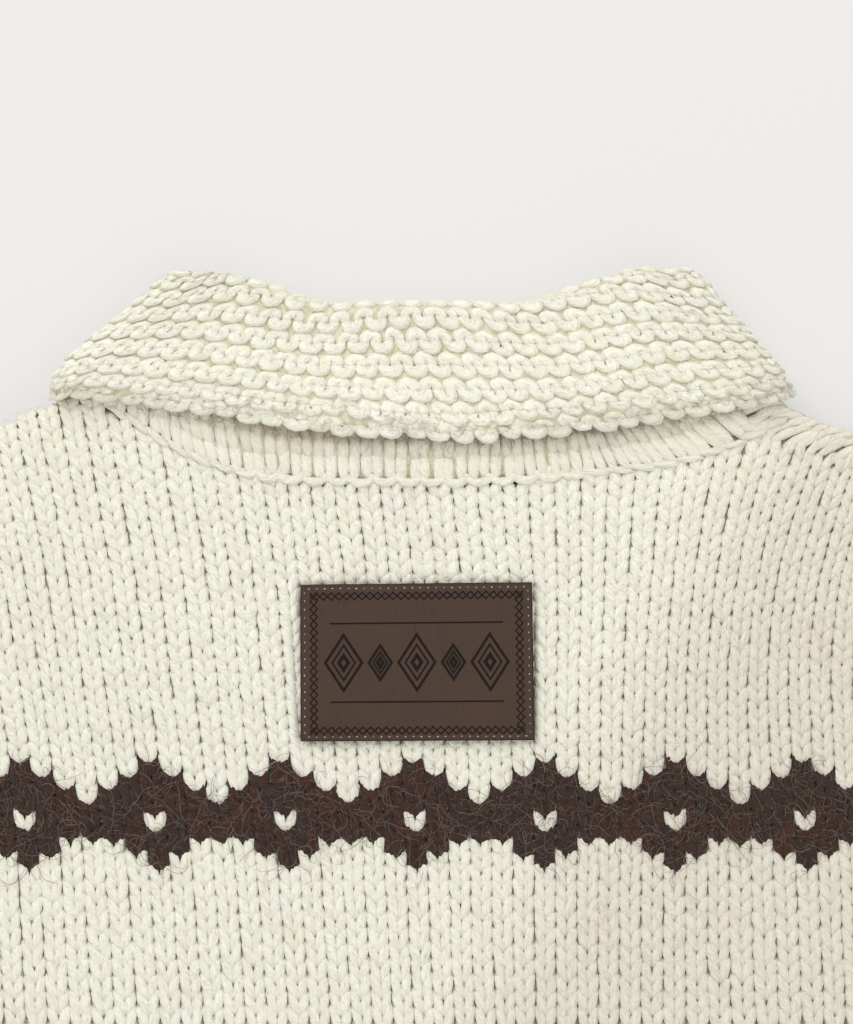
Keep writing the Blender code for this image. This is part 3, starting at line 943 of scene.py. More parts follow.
class Value:
    """A socket of numbers that adds Math nodes when it is used in an expression."""

    def __init__(self, made, socket):
        self.made = made
        self.socket = socket

    __add__, __radd__ = maths("ADD"), maths("ADD", True)
    __sub__, __rsub__ = maths("SUBTRACT"), maths("SUBTRACT", True)
    __mul__, __rmul__ = maths("MULTIPLY"), maths("MULTIPLY", True)
    __truediv__, __rtruediv__ = maths("DIVIDE"), maths("DIVIDE", True)
    __lt__, __gt__, __abs__ = maths("LESS_THAN"), maths("GREATER_THAN"), maths("ABSOLUTE")
    minimum, maximum, fraction = maths("MINIMUM"), maths("MAXIMUM"), maths("FRACT")

    def ramp(self, low, high):
        """0 below low, 1 above high, smooth between."""
        settings = {"interpolation_type": "SMOOTHSTEP"}
        return self.made.value("ShaderNodeMapRange", settings, {0: self, 1: low, 2: high})


class Finish:
    """A material under construction, with one method for its nodes."""

    def __init__(self, name):
        self.material = bpy.data.materials.new(name)
        self.material.use_nodes = True
        self.nodes = self.material.node_tree.nodes
        self.links = self.material.node_tree.links
        self.shader = self.nodes["Principled BSDF"]

    def node(self, kind, settings=None, inputs=None):
        node = self.nodes.new(kind)
        for key, value in (settings or {}).items():
            setattr(node, key, value)
        for key, value in (inputs or {}).items():
            self.feed(node.inputs[key], value)
        return node

    def feed(self, socket, value):
        value = getattr(value, "socket", value)
        if isinstance(value, bpy.types.NodeSocket):
            self.links.new(value, socket)
        elif hasattr(value, "__len__"):
            socket.default_value = (*value, 1.0)[: len(socket.default_value)]
        else:
            socket.default_value = value

    def value(self, kind, settings=None, inputs=None, output=0):
        return Value(self, self.node(kind, settings, inputs).outputs[output])

    def attribute(self, name):
        return self.value("ShaderNodeAttribute", {"attribute_name": name}, output="Fac")

    def blend(self, a, b, share, kind="MIX"):
        """Mixes two colours by a share."""
        settings = {"data_type": "RGBA", "blend_type": kind}
        return self.node("ShaderNodeMix", settings, {0: share, 6: a, 7: b}).outputs[2]

    def layers(self, tint, *layers):
        """Lays colours over a first one, each with its share."""
        for colour, share in layers:
            tint = self.blend(tint, colour, share)
        return tint

    def place(self, map_name=None, scale=(1, 1, 1)):
        """Coordinates from a map, or from the object, times a scale."""
        if map_name:
            vector = self.node("ShaderNodeUVMap", {"uv_map": map_name}).outputs[0]
        else:
            vector = self.node("ShaderNodeTexCoord").outputs["Object"]
        settings = {"operation": "MULTIPLY"}
        return self.node("ShaderNodeVectorMath", settings, {0: vector, 1: scale}).outputs[0]

    def axes(self, vector):
        """The first two coordinates of a vector."""
        cut = self.node("ShaderNodeSeparateXYZ", None, {0: vector})
        return Value(self, cut.outputs[0]), Value(self, cut.outputs[1])

    def noise(self, vector, scale, detail=2.0, roughness=0.5, distortion=0.0):
        inputs = {"Vector": vector, "Scale": scale, "Detail": detail}
        inputs.update({"Roughness": roughness, "Distortion": distortion})
        return self.value("ShaderNodeTexNoise", None, inputs)

    def bump(self, height, distance, strength=1.0, onto=None):
        inputs = {"Height": height, "Distance": distance, "Strength": strength}
        if onto is not None:
            inputs["Normal"] = onto
        return self.node("ShaderNodeBump", None, inputs).outputs[0]

    def surface(self, **inputs):
        for key, value in inputs.items():
            self.feed(self.shader.inputs[key.replace("_", " ")], value)
        return self.material


def once(make):
    """A material maker that makes its material only the first time."""

    def made():
        name = make.__name__
        return bpy.data.materials.get(name) or make(Finish(name))

    return made


@once
def alpaca_yarn(f):
    """Soft single-ply alpaca: cream or brown by the tone, streaked along the strand."""
    c = finish_settings()
    tone, wool, deep = f.attribute("tone"), f.attribute("wool"), f.attribute("deep")
    place = f.place()
    blotch = f.noise(place, 38.0, 2.0)
    along = f.place("Yarn", (0.22, 6.0, 1.0))
    streak = f.noise(along, 1.0, 3.0, 0.6, 0.6)
    hairs = f.noise(f.place("Yarn", (0.55, 15.0, 1.0)), 1.0, 2.0, 0.6, 0.8)
    cream = f.layers(
        c.cream,
        (c.blush, blotch.ramp(0.52, 0.74) * 0.35),
        ((0.985, 0.97, 0.87), (wool * 0.35 + streak * 0.8).ramp(0.35, 0.85) * 0.8),
        ((0.80, 0.785, 0.60), hairs.ramp(0.54, 0.74) * 0.35),
        # painted shade on the cream deep between the stitches
        (c.cream_painted_shade, deep.ramp(0.6, 1.1) * 0.64),
    )
    brown = f.layers(
        c.brown,
        ((0.066, 0.024, 0.016), blotch.ramp(0.45, 0.65)),
        ((0.040, 0.026, 0.024), wool.ramp(0.55, 0.95) * 0.8),
        # painted shade on the brown deep between the stitches
        (c.brown_painted_shade, deep.ramp(0.12, 0.6)),
        ((0.20, 0.150, 0.125), hairs.ramp(0.58, 0.74) * 0.6),
    )
    across, up = f.axes(place)
    down = up - ORIGIN_Y * MM
    # Painted shade: the yoke's right side is made a little darker and rosier, where the light falls off.
    right_side_painted_shade = (across - down * 0.5).ramp(0.075, 0.13) * (1 - across.ramp(0.16, 0.30)) * down.ramp(-0.36, -0.2)
    cream = f.blend(cream, (0.895, 0.865, 0.86), right_side_painted_shade, "MULTIPLY")
    # Tan by the tone: painted shadow on the stand under the leaf's edge, and a beige tone on the leaf's
    # untidy last rows.
    cream = f.blend(cream, (0.42, 0.29, 0.165), tone.ramp(0.0, 0.5))
    normal = f.bump(streak * 0.7 + hairs * 0.6, 0.0012, 0.9)
    return f.surface(
        Base_Color=f.blend(cream, brown, tone.ramp(0.5, 1.0)),
        Roughness=0.92,
        Specular_IOR_Level=0.18,
        Sheen_Weight=0.15,
        Sheen_Roughness=0.55,
        Sheen_Tint=(1.0, 0.97, 0.90),
        Normal=normal,
    )


def heart(f, dark, light):
    """Felted wool mottled between two colours, both darkened as painted shade."""
    mottle = f.noise(f.place(), 420.0, 3.0)
    loops = f.noise(f.place(), 150.0, 1.0)
    tint = f.blend(dark, light, mottle.ramp(0.35, 0.7))
    return f.surface(
        Base_Color=tint,
        Roughness=0.95,
        Specular_IOR_Level=0.1,
        Sheen_Weight=0.1,
        Normal=f.bump(mottle + loops, 0.0012, 0.9),
    )


@once
def painted_shade_backing(f):
    """The heart of the knitting, seen only between stitches, coloured dark olive as painted shade."""
    return heart(f, (0.42, 0.40, 0.29), (0.58, 0.55, 0.41))


@once
def collar_painted_shade_heart(f):
    """The collar's heart, coloured as painted shade, paler than the body's because it lies close under its
    dense ridges.
    """
    return heart(f, (0.66, 0.62, 0.44), (0.84, 0.81, 0.64))


@once
def loose_hair(f):
    """Fine fibres that stand off the yarn."""
    c = finish_settings()
    tone, wool = f.attribute("tone"), f.attribute("wool")
    cream = f.blend((0.92, 0.90, 0.77), (0.97, 0.955, 0.86), wool)
    brown = f.blend(c.brown_hair, (0.10, 0.070, 0.060), wool.ramp(0.35, 0.9))
    tan = f.noise(f.place(), 900.0, 1.0)
    tint = f.blend(cream, brown, tone)
    return f.surface(
        Base_Color=f.blend(tint, (0.45, 0.36, 0.27), tan.ramp(0.6, 0.9) * 0.15),
        Roughness=0.7,
        Specular_IOR_Level=0.25,
        Sheen_Weight=0.15,
    )


@once
def sewing_thread(f):
    """Pale waxed thread round the patch."""
    wear = f.attribute("wool").ramp(0.3, 1.0)
    return f.surface(
        Base_Color=f.blend(finish_settings().thread, (0.30, 0.24, 0.19), wear),
        Roughness=0.6,
        Normal=f.bump(f.noise(f.place(), 3000.0, 1.0), 0.0002, 0.6),
    )


CROSS_PITCH, CROSS_TALL, CROSS_LINE = 2.42, 2.3, 0.42
BORDER_IN = (4.2, 3.25)  # the crosses' middle line lies this far in, at the sides and the ends
LOZENGE_PITCH = 11.4
LOZENGE_SLIM = 0.66  # width of a lozenge as a share of its height
LOZENGES = ((8.6, 0.85), (5.4, 0.6), (2.2, 1.1))  # half height and line of each, one in the other
RULE_OFF, RULE_HALF, RULE_LINE = 12.2, 27.0, 0.52  # the thin line above and below the lozenges


def lozenge(x, y, middle_x, middle_y, half_x, half_y, line):
    """1 on the outline of an upright lozenge."""
    share = abs(x - middle_x) / half_x + abs(y - middle_y) / half_y
    return (abs(share - 1) * (half_x * half_y / math.hypot(half_x, half_y))) < line / 2


def crossed_line(u, v):
    """1 on a chain of small crosses that runs along u at v = 0."""
    peak = abs((u / CROSS_PITCH).fraction() * 2 - 1) * (CROSS_TALL / 2)
    inside = abs(v) < CROSS_TALL / 2 + CROSS_LINE
    return (abs(abs(v) - peak) < CROSS_LINE * 0.7) * inside


@once
def brown_leather(f):
    """Matt brown leather with a pressed border and a row of plain lozenges."""
    c = finish_settings()
    wide, tall = PATCH_SIZE
    x, y = f.axes(f.place("Face"))
    edge_x, edge_y = BORDER_IN
    within_x = (x > edge_x - 1.2) * (x < wide - edge_x + 1.2)
    within_y = (y > edge_y - 1.2) * (y < tall - edge_y + 0.7)
    low, high = crossed_line(x, y - edge_y), crossed_line(x, y - (tall - edge_y - 0.5))
    near, far = crossed_line(y, x - edge_x), crossed_line(y, x - (wide - edge_x))
    level, upright = low.maximum(high), near.maximum(far)
    pressed = (level * within_x).maximum(upright * within_y)
    for step in (-2, -1, 0, 1, 2):
        size = 1.0 if step % 2 == 0 else 0.62
        spot = wide / 2 + step * LOZENGE_PITCH
        for half, line in LOZENGES:
            one = lozenge(x, y, spot, tall / 2, half * LOZENGE_SLIM * size, half * size, line)
            pressed = pressed.maximum(one)
    for offset in (-RULE_OFF, RULE_OFF):
        rule = (abs(y - (tall / 2 + offset)) < RULE_LINE / 2) * (abs(x - wide / 2) < RULE_HALF)
        pressed = pressed.maximum(rule)
    grain = f.noise(f.place("Face", (2.6, 0.16, 1.0)), 1.0, 4.0, 0.65, 0.2)
    pores = f.noise(f.place("Face", (1.0, 1.0, 1.0)), 2.2, 3.0, 0.7)
    cloud = f.noise(f.place("Face"), 0.06, 2.0)
    tint = f.layers(
        c.leather,
        ((0.080, 0.047, 0.034), cloud.ramp(0.35, 0.7) * 0.6),
        ((0.056, 0.035, 0.027), grain.ramp(0.45, 0.75) * 0.8),
        ((0.110, 0.074, 0.058), pores.ramp(0.58, 0.75) * 0.6),
    )
    rim = (x.minimum(wide - x)).minimum(y.minimum(tall - y))
    tint = f.blend((0.040, 0.024, 0.019), tint, rim.ramp(0.0, 0.9))
    tint = f.blend(tint, c.leather_press, pressed)
    low = f.bump(1 - pressed, 0.0003, 0.9)
    normal = f.bump(grain * 0.6 + pores * 0.5, 0.00018, 0.55, low)
    return f.surface(
        Base_Color=tint,
        Roughness=(grain * 0.15 + 0.56) - pressed * 0.05,
        Specular_IOR_Level=0.16,
        Normal=normal,
    )


# --- Backing sheets ---------------------------------------------------------------------------


def closed_grid(name, outer, inner, material, slot, ring=False):
    """A closed shell between two grids of points of the same size, (across, along, 3)."""
    a, b = outer.shape[:2]
    points = np.concatenate([outer.reshape(-1, 3), inner.reshape(-1, 3)])
    index = np.arange(a * b).reshape(a, b)
    other = index + a * b
    if ring:
        index = np.concatenate([index, index[:1]])
        other = np.concatenate([other, other[:1]])

    def skin(g, flip=False):
        quads = np.stack([g[:-1, :-1], g[1:, :-1], g[1:, 1:], g[:-1, 1:]], -1).reshape(-1, 4)
        return quads[:, :: -1 if flip else 1]

    faces = [skin(index), skin(other, True)]
    for end, flip in ((0, False), (-1, True)):
        if not ring:
            faces.append(skin(np.stack([index[end], other[end]]), not flip))
        faces.append(skin(np.stack([index[:, end], other[:, end]], 0), flip))
    faces = np.concatenate(faces)
    mesh = fill_mesh(name, points, faces.ravel(), np.arange(len(faces)) * 4)
    u, v = in_grid(np.linspace(0.02, 0.98, a), np.linspace(0.02, 0.48, b))
    lay = np.concatenate([np.stack([u, v], -1).reshape(-1, 2), np.stack([u, v + 0.5], -1).reshape(-1, 2)])
    put_map(mesh, "OFBake", lay[faces.ravel()])
    return new_object(name, mesh, material)


def shell(name, layer, s, t, slot):
    """The heart of one layer, a thin shell just below its face, coloured as painted shade for the gaps
    between stitches.
    """
    skins = [layer.at(s, t, np.full_like(s, -sink)) for sink in (BASE_SINK, BASE_SINK + BASE_WALL)]
    return closed_grid(name, *skins[:: -1 if layer.under else 1], painted_shade_backing(), slot)


def body_backing(name, layer, top_edge):
    """The heart of one body panel, finer where it rolls over its sides and shoulders."""
    wide = BODY_HALF + SPILL
    side = wide - 2 * ROUND
    across = stretches(-wide, (-side, 5), (side, 55), (wide, 5))
    s, share = in_grid(across, stretches(0, (0.55, 23), (0.97, 29), (1, 4)))
    x = s if layer.under else s + drift(s, np.zeros_like(s))
    top = top_edge(x) + SPILL * beyond_neck(x) - 0.4
    t = mix(HEM_JOIN_Y, top, share)
    s = np.sign(s) * np.minimum(np.abs(s), wide - SPILL * (1 - below_arm(t)))
    return shell(name, layer, s, t, "knit_body")


def tube_backing(name, layers, tops, count, slot):
    """The heart of a whole tube. tops are its heights at its first edge and at its other one."""
    share, level = in_grid(stretches(0, (0.05, 4), (0.95, 15), (1, 4)), np.linspace(0, 1, count))
    t = mix(*tops, share) * level
    skins = []
    for sink in (BASE_SINK, BASE_SINK + BASE_WALL):
        parts = []
        for layer in layers:
            low, high = layer.edges(t)
            s = mix(-SPILL, high - low + SPILL, share)
            points = layer.at(s, t, np.full_like(s, -sink))
            parts.append(points[::-1][1:-1] if layer.under else points)
        skins.append(np.concatenate(parts))
    return closed_grid(name, *skins[:: layers[0].side], painted_shade_backing(), slot, ring=True)


def both_layers(node, origin, up, edges, side):
    return [TubeLayer(node, origin, up, edges, under, side) for under in (False, True)]


def straight(half):
    """Edges of a tube that has the same width all along."""
    return lambda t: (np.full_like(t, -half, dtype=float), np.full_like(t, half, dtype=float))


class SleeveCut:
    """Outline of one sleeve in the right-hand plan: from the wrist, up along the sleeve."""

    def __init__(self, side):
        self.up = np.array((-math.cos(SLEEVE_ANGLE), math.sin(SLEEVE_ANGLE)))
        across = np.array((self.up[1], -self.up[0]))
        edge = BODY_HALF + 0.3
        armpit = np.array((edge, ARMPIT_Y))
        tip = np.array((edge, float(shoulder(np.array(side * BODY_HALF)))))
        middle = (armpit + tip) / 2
        self.wrist = middle - self.up * (UNDERARM - (armpit - middle) @ self.up)
        # Height up the sleeve, and place across it, of the armhole's two ends.
        self.low_top, self.low_side = (armpit - self.wrist) @ self.up, (armpit - self.wrist) @ across
        self.high_top, self.high_side = (tip - self.wrist) @ self.up, (tip - self.wrist) @ across
        self.top = max(self.low_top, self.high_top)
        self.top_width = self.high_side - self.low_side
        around = self.top_width + 2 * SLEEVE_END_HALF + 4 * SPILL
        self.area = around * (self.low_top + self.high_top) / 2

    def edges(self, t):
        low_share = 1 - t / self.low_top
        high_share = 1 - t / self.high_top
        narrow = (SLEEVE_END_HALF - WRIST_HALF) * smooth((low_share - 0.9) / 0.1)
        low = mix(self.low_side, -SLEEVE_END_HALF, low_share) + narrow
        low = low + UNDERARM_HOLLOW * np.sin(math.pi * np.clip(low_share, 0, 1))
        high = mix(self.high_side, SLEEVE_END_HALF, high_share) - narrow
        return low, high


# --- The collar's knitting --------------------------------------------------------------------

SHOWN_FROM = -0.5  # ridges further under the fold than this are left out
BACK_ENDS = (1.17, 3.43)  # the leaf's back reaches to here at the right and the left
FIBRE_ENDS = (1.15, 3.45)  # and its fibres to here


def ridge_place(q, t):
    """Share of the leaf at a distance out from the fold, counted at the back's middle."""
    share, _, turn = collar_station(q)
    end = np.abs(share) ** 1.6 * smooth(turn / math.radians(50) + 1.4)
    place = 1 - (LEAF_LENGTH - t) * mix(1 / LEAF_LENGTH, RIDGES_END / LEAF_END, end)
    flat = np.abs(turn) > math.pi / 2 - 1e-6
    longer = np.where(flat, 1.0, np.cos(turn))
    (left_flat, left_turn), (right_flat, right_turn) = CORNER
    flat_reach, turn_reach = sided((left_flat, right_flat), share), sided((left_turn, right_turn), share)
    reach = mix(flat_reach, turn_reach, longer * ~flat)
    return place + reach * smooth((np.abs(share) - 0.7) / 0.3) * smooth(place * 1.5 - 0.5)


class LeafRing:
    """The leaf's outer face in millimetres: s round the neck, t out from the fold."""

    def __init__(self):
        self.q = np.linspace(-1, 3 + 2 * SIDE_TURN, 1400)
        self.s = run_along(leaf_at(self.q, np.full_like(self.q, MEASURED_AT), np.zeros_like(self.q)))
        self.total = float(self.s[-1])

    def place(self, s):
        return np.interp(np.mod(s, self.total), self.s, self.q)

    def at(self, s, t, h):
        q = self.place(s)
        return leaf_at(q, ridge_place(q, t), h)

    def stitch_places(self, t):
        """Stitches evenly spaced along a ridge, and how far apart they are there."""
        grid = np.linspace(-0.03, 1.03, 1500) * self.total
        run = run_along(self.at(grid, np.full_like(grid, t), np.zeros_like(grid)))
        run -= np.interp(0.0, grid, run)
        whole = np.interp(self.total, grid, run)
        count = round(whole / (knit().garter / MM))
        ends = np.interp((np.arange(count + 1) - 0.2) * whole / count, run, grid)
        return (ends[1:] + ends[:-1]) / 2, np.diff(ends)

    def at_back(self, s):
        q = self.place(s)
        return (q < BACK_ENDS[0]) | (q > BACK_ENDS[1])

    def back_span(self, share):
        """Places spread over the back, from the left side round to the right one."""
        last, first = np.interp(FIBRE_ENDS, self.q, self.s)
        return mix(first - self.total, last, share)


# Middle line of the left half of a hanging bump: across in stitches, down in mm, and its radius.
BUMP_HALF = (
    (-0.24, -1.2, 1.45),
    (-0.262, 0.0, 1.78),
    (-0.25, 1.25, 1.92),
    (-0.155, 2.15, 2.08),
    (0.0, 2.4, 2.15),
)
BUMP = np.array(BUMP_HALF + tuple((-across, *rest) for across, *rest in BUMP_HALF[-2::-1]))
RIDGE_TALL = 8.2  # height of the ridge that the bump is drawn for


def garter_row(yarn, ring, s, pitch, share, tall, messy, fine, key):
    """One ridge: fat bumps that hang, and between them, half a stitch over, the arcs above."""
    n = len(s)
    across, down, thick = (BUMP if fine else BUMP[[0, 2, 6, 8]]).T
    pitch = pitch[:, None]
    loose = 1 + 1.1 * messy
    for kind, (shift, way) in enumerate(((0.0, 1), (0.5, -1))):
        wider, aside, taller, lower, slanted, raised = sways(n, 6, key, kind)
        x = s[:, None] + pitch * (shift + across * (1 + 0.07 * loose * wider)) + 0.25 * loose * aside
        y = way * tall / RIDGE_TALL * down * (1 + 0.07 * loose * taller)
        y = share * LEAF_LENGTH + y + 0.28 * loose * lower + 0.5 * across * slanted
        h = -1.15 - 0.5 * messy + 0.16 * way * down + (0.12 + 0.4 * messy) * raised
        radius = 1.16 * thick * (tall / RIDGE_TALL) ** 0.5 * (1 + 0.06 * loose * lower)
        path = np.stack([x, y, h], -1)
        sides, rough = (7, 0.14) if fine else (3, 0.0)
        shade = 0.15 * messy * draws(n, key, kind, 8)
        strands(yarn, ring.at, path, radius, sides, shade, draws(n, key, kind, 9), 0.74, -0.2, rough)


def neck_face(x, y, h):
    """The back about the neck seam: the panel's face below it and the stand's above."""
    share = np.minimum(np.abs(x) / sided(PEAK, x), 1)
    low = mix(FRONT_FOLD_Y, sided(PEAK_Y, x), share**2) + FRONT_FOLD_COVER
    sink = COLLAR_SAG * smooth((y - low) / np.maximum(FOLD_MID_Y - low, 8.0)) * (1 - share**3)
    return np.stack([x, y, LIFT + 2 * MIDDLE - sink + h], -1)


def leaf_low_edge(x):
    """Height of the leaf's free edge across the back."""
    share = np.linspace(-1, 1, 81)
    edge = leaf_edge(share, np.ones_like(share, dtype=bool))
    return np.interp(x, edge[:, 0], edge[:, 1])


# The stand's columns fan in towards the middle: places across, and how far they lean as they rise.
FAN_X = (-100, -70, -40, 20, 50, 75, 110)
FAN_LEAN = (0.25, -0.20, -0.05, 0.0, -0.22, -0.75, -1.1)
# Where each row of the stand starts above the chain, and how much painted shadow it takes under the leaf.
STAND_ROWS = ((-0.6, 0.045), (5.6, 0.13), (11.6, 0.22), (17.4, 0.3))
STAND_OFF, STAND_TALL, STAND_THICK = 1.82, 10.4, 2.12  # a leg's place aside, height and radius


def stand_columns(yarn, key):
    """Plain columns from the neck chain up under the leaf."""

    def place(s, t, h):
        return neck_face(s + np.interp(s, FAN_X, FAN_LEAN) * t, chain_height(s) + t, h)

    s = np.arange(CHAIN_X[0] + 2, CHAIN_X[-1] - 4, CHAIN_LINK)
    n = len(s)
    share = LEG_SHARES[FINE]
    fuller = 1 + 0.17 * smooth((np.abs(s) - 50) / 30)[:, None]
    inner = smooth((s + 88) / 50)
    # Painted shadow of the leaf: the stand's rows close under its edge turn tan.
    shadow = inner * smooth((leaf_low_edge(s) - chain_height(s) - 5.0) / 7.0)
    for row, (start, dark) in enumerate(STAND_ROWS):
        for leg, side in enumerate((-1, 1)):
            aside, leaning, taller, raised, fatter = sways(n, 5, key, row, leg)
            x = s[:, None] + side * (STAND_OFF - 0.15 * np.sin(math.pi * share))
            x = x + 0.25 * aside + 0.6 * leaning * share
            y = start + share * (STAND_TALL + 0.8 * taller) + 0.8 * swing(n, key, row, 9)[:, None]
            h = -1.0 - 0.12 * row - 1.0 * smooth((share - 0.5) / 0.5) + 0.15 * raised
            path = np.stack([x, y, h], -1)
            radius = taper(share, 0.05) * STAND_THICK * fuller * (1 + 0.06 * fatter)
            shade = (shadow * dark + 0.01) * (0.8 + 0.4 * draws(n, key, row, leg, 6))
            # Painted shade that deepens up the stand towards the leaf's edge, less at the left end.
            painted_shade_from = 0.2 + (0.6 + 2.0 * inner[:, None, None]) * smooth((y[:, 1:-1, None] - 6.0) / 8.0)
            strands(yarn, place, path, radius, 7, shade, draws(n, key, row, leg, 5), 0.85, painted_shade_from, 0.16)


def chain_route():
    """Distances along the neck chain from its left end, with the places and normals there."""
    x = np.linspace(CHAIN_X[0], CHAIN_X[-1], 600)
    kernel = np.ones(31) / 31
    y = np.convolve(np.pad(chain_height(x), 15, mode="edge"), kernel, mode="valid")
    route = np.stack([x, y], -1)
    flow = unit(np.gradient(route, axis=0))
    return run_along(route), [*route.T, -flow[:, 1], flow[:, 0]]


def neck_chain(yarn, key):
    """Links that hang between the stand's columns, and run out into a twisted cord at each side."""
    distance, route = chain_route()
    count = round(distance[-1] / CHAIN_LINK)
    pitch = distance[-1] / count
    k = np.arange(count)
    share = np.linspace(-0.3, 1.3, 13)
    along = (k[:, None] + share) * pitch
    x, y, nx, ny = (np.interp(along, distance, values) for values in route)
    whole = (share - share[0]) / (share[-1] - share[0])
    hang = 1.5 * (2 * np.abs(share - 0.5)) ** 2.2 - 0.75
    twist = 0.7 * np.cos(math.pi * whole)
    middle = smooth((62 - np.abs(x + 4)) / 22)
    off = mix(twist, hang, middle) + 0.2 * swing(count, key)[:, None]
    h = -0.3 + 0.3 * np.sin(math.pi * np.clip(share, 0, 1))
    h = h - 1.5 * smooth((share - 0.9) / 0.4) - 0.5 * smooth(-share / 0.3)
    path = together(x + nx * off, y + ny * off, h)
    radius = mix(1.2, 1.45, middle) * taper(whole) * (1 + 0.08 * swing(count, key, 1))[:, None]
    wool = draws(count, key, 2)
    strands(yarn, neck_face, path, radius, 8, np.zeros(count), wool, deep_from=0.6, rough=0.12)


STRIP_FROM, STRIP_STEP, STRIP_RUN = 94.0, 3.4, 14.0  # its start, spacing and stitch length
STRIP_DROPS = (5.4, SEAM_DROP + 1.8)  # how far below the shoulder's edge its two rows start


def shoulder_strip(yarn, layer, key):
    """The front's stitches, brought over the right shoulder and lying slanted above the seam."""

    def place(s, t, h):
        return layer.at(s - drift(s, t) * (np.abs(s) < 240), t, h)

    for tier, drop in enumerate(STRIP_DROPS):
        x = np.arange(STRIP_FROM + 6 * tier, BODY_HALF - 6.0, STRIP_STEP)
        n = len(x)
        turned, longer, higher, raised, fatter = sways(n, 5, key, tier)
        slant = np.radians(27 + 3 * turned)
        run = STRIP_RUN + 1.4 * longer
        share = LEG_SHARES[FINE]
        s = x[:, None] + run * share * np.cos(slant)
        t = (shoulder(x) - drop)[:, None] + run * share * np.sin(slant) + 0.5 * higher
        t = t + 0.8 * np.sin(math.pi * share)
        h = -1.3 - 0.9 * smooth((share - 0.6) / 0.4) + 0.15 * raised
        path = np.stack([s, t, h], -1)
        radius = taper(share, 0.03) * 1.7 * (1 + 0.07 * fatter)
        wool = draws(n, key, tier, 9)
        near = x < VIEW_HALF + 8
        few = [0, 3, 6, 8]
        strands(yarn, place, path[near], radius[near], 7, wool[near] * 0, wool[near], 0.85, 0.2, 0.14)
        path, radius, wool = path[~near][:, few], radius[~near][:, few], wool[~near]
        strands(yarn, place, path, radius, 4, wool * 0, wool, 0.9, 0.2)


def collar_backing():
    """The heart of the collar as one folded ring: up the stand, over the fold and down the leaf."""
    side = SIDE_TURN
    q = stretches(-1, (1, 40), (1 + side, 10), (3 + side, 40), (3 + 2 * side, 10))[:-1]
    leaf_end = ridge_place(q, np.full_like(q, LEAF_LENGTH))
    skins = []
    for stand, arc, leaf in ((0.9, 4.2, LEAF_OUT - 1.05), (4.0, 0.7, LEAF_IN + 0.75)):
        rows = []
        for t in np.linspace(0, 0.96, 6):
            rows.append(collar_at(q, neck_line, fold_line, OUT_NECK, OUT_FOLD, np.full_like(q, t), stand))
        for turn in np.radians((135, 90, 45)):
            rows.append(over_fold(q, arc, turn))
        for t in np.linspace(0.02, 1.0, 8):
            rows.append(in_leaf(q, leaf_end * t, np.full_like(q, leaf)))
        skins.append(np.stack(rows, axis=1))
    return closed_grid("collar_cloth", *skins, collar_painted_shade_heart(), "knit_collar", ring=True)


# --- Loose fibres -----------------------------------------------------------------------------


def hairs(yarn, place, s, t, lengths, thickness, tone, key, curl=1.5, count=8, spread=math.pi, lift=1.0):
    """Thin curved fibres that start at (s, t), wander over the cloth and lift a little off it."""
    n = len(s)
    share = np.linspace(0, 1, count)
    size = mix(*lengths, draws(n, key, 1) ** 2)
    heading = math.pi / 2 + (draws(n, key, 2) * 2 - 1) * spread
    bend = swing(n, key, 3) * curl
    wave = swing(n, key, 4) * curl * 0.6
    angle = heading[:, None] + bend[:, None] * share + wave[:, None] * np.sin(share * 5.0)
    steps = np.stack([np.cos(angle), np.sin(angle)], -1) * (size / (count - 1))[:, None, None]
    steps[:, 0] = 0.0
    plan = np.stack([s, t], -1)[:, None] + np.cumsum(steps, axis=1)
    rise = 0.3 + 1.2 * draws(n, key, 5)
    h = 0.1 + lift * rise[:, None] * np.sin(math.pi * (0.12 + 0.88 * share))
    path = np.concatenate([plan, h[..., None]], -1)
    radius = thickness * (0.6 + 0.8 * draws(n, key, 7))[:, None] * (1 - 0.5 * share)
    strands(yarn, place, path, radius, 3, np.broadcast_to(tone, n), draws(n, key, 6), 1.0, 1.0)


# --- Operators --------------------------------------------------------------------------------

FLOOR_HALF = 14.0  # this and what follows for the stage is in metres
VIEW_TALL = 0.320  # cloth along the view's long side
KEY_FROM, FILL_FROM = (-0.55, 1.25, 1.35), (0.9, -1.0, 1.5)  # from the middle of the view
VIEW_MIDDLE = (2.0, -8.4, 10.0)  # and that middle, in the plan's millimetres


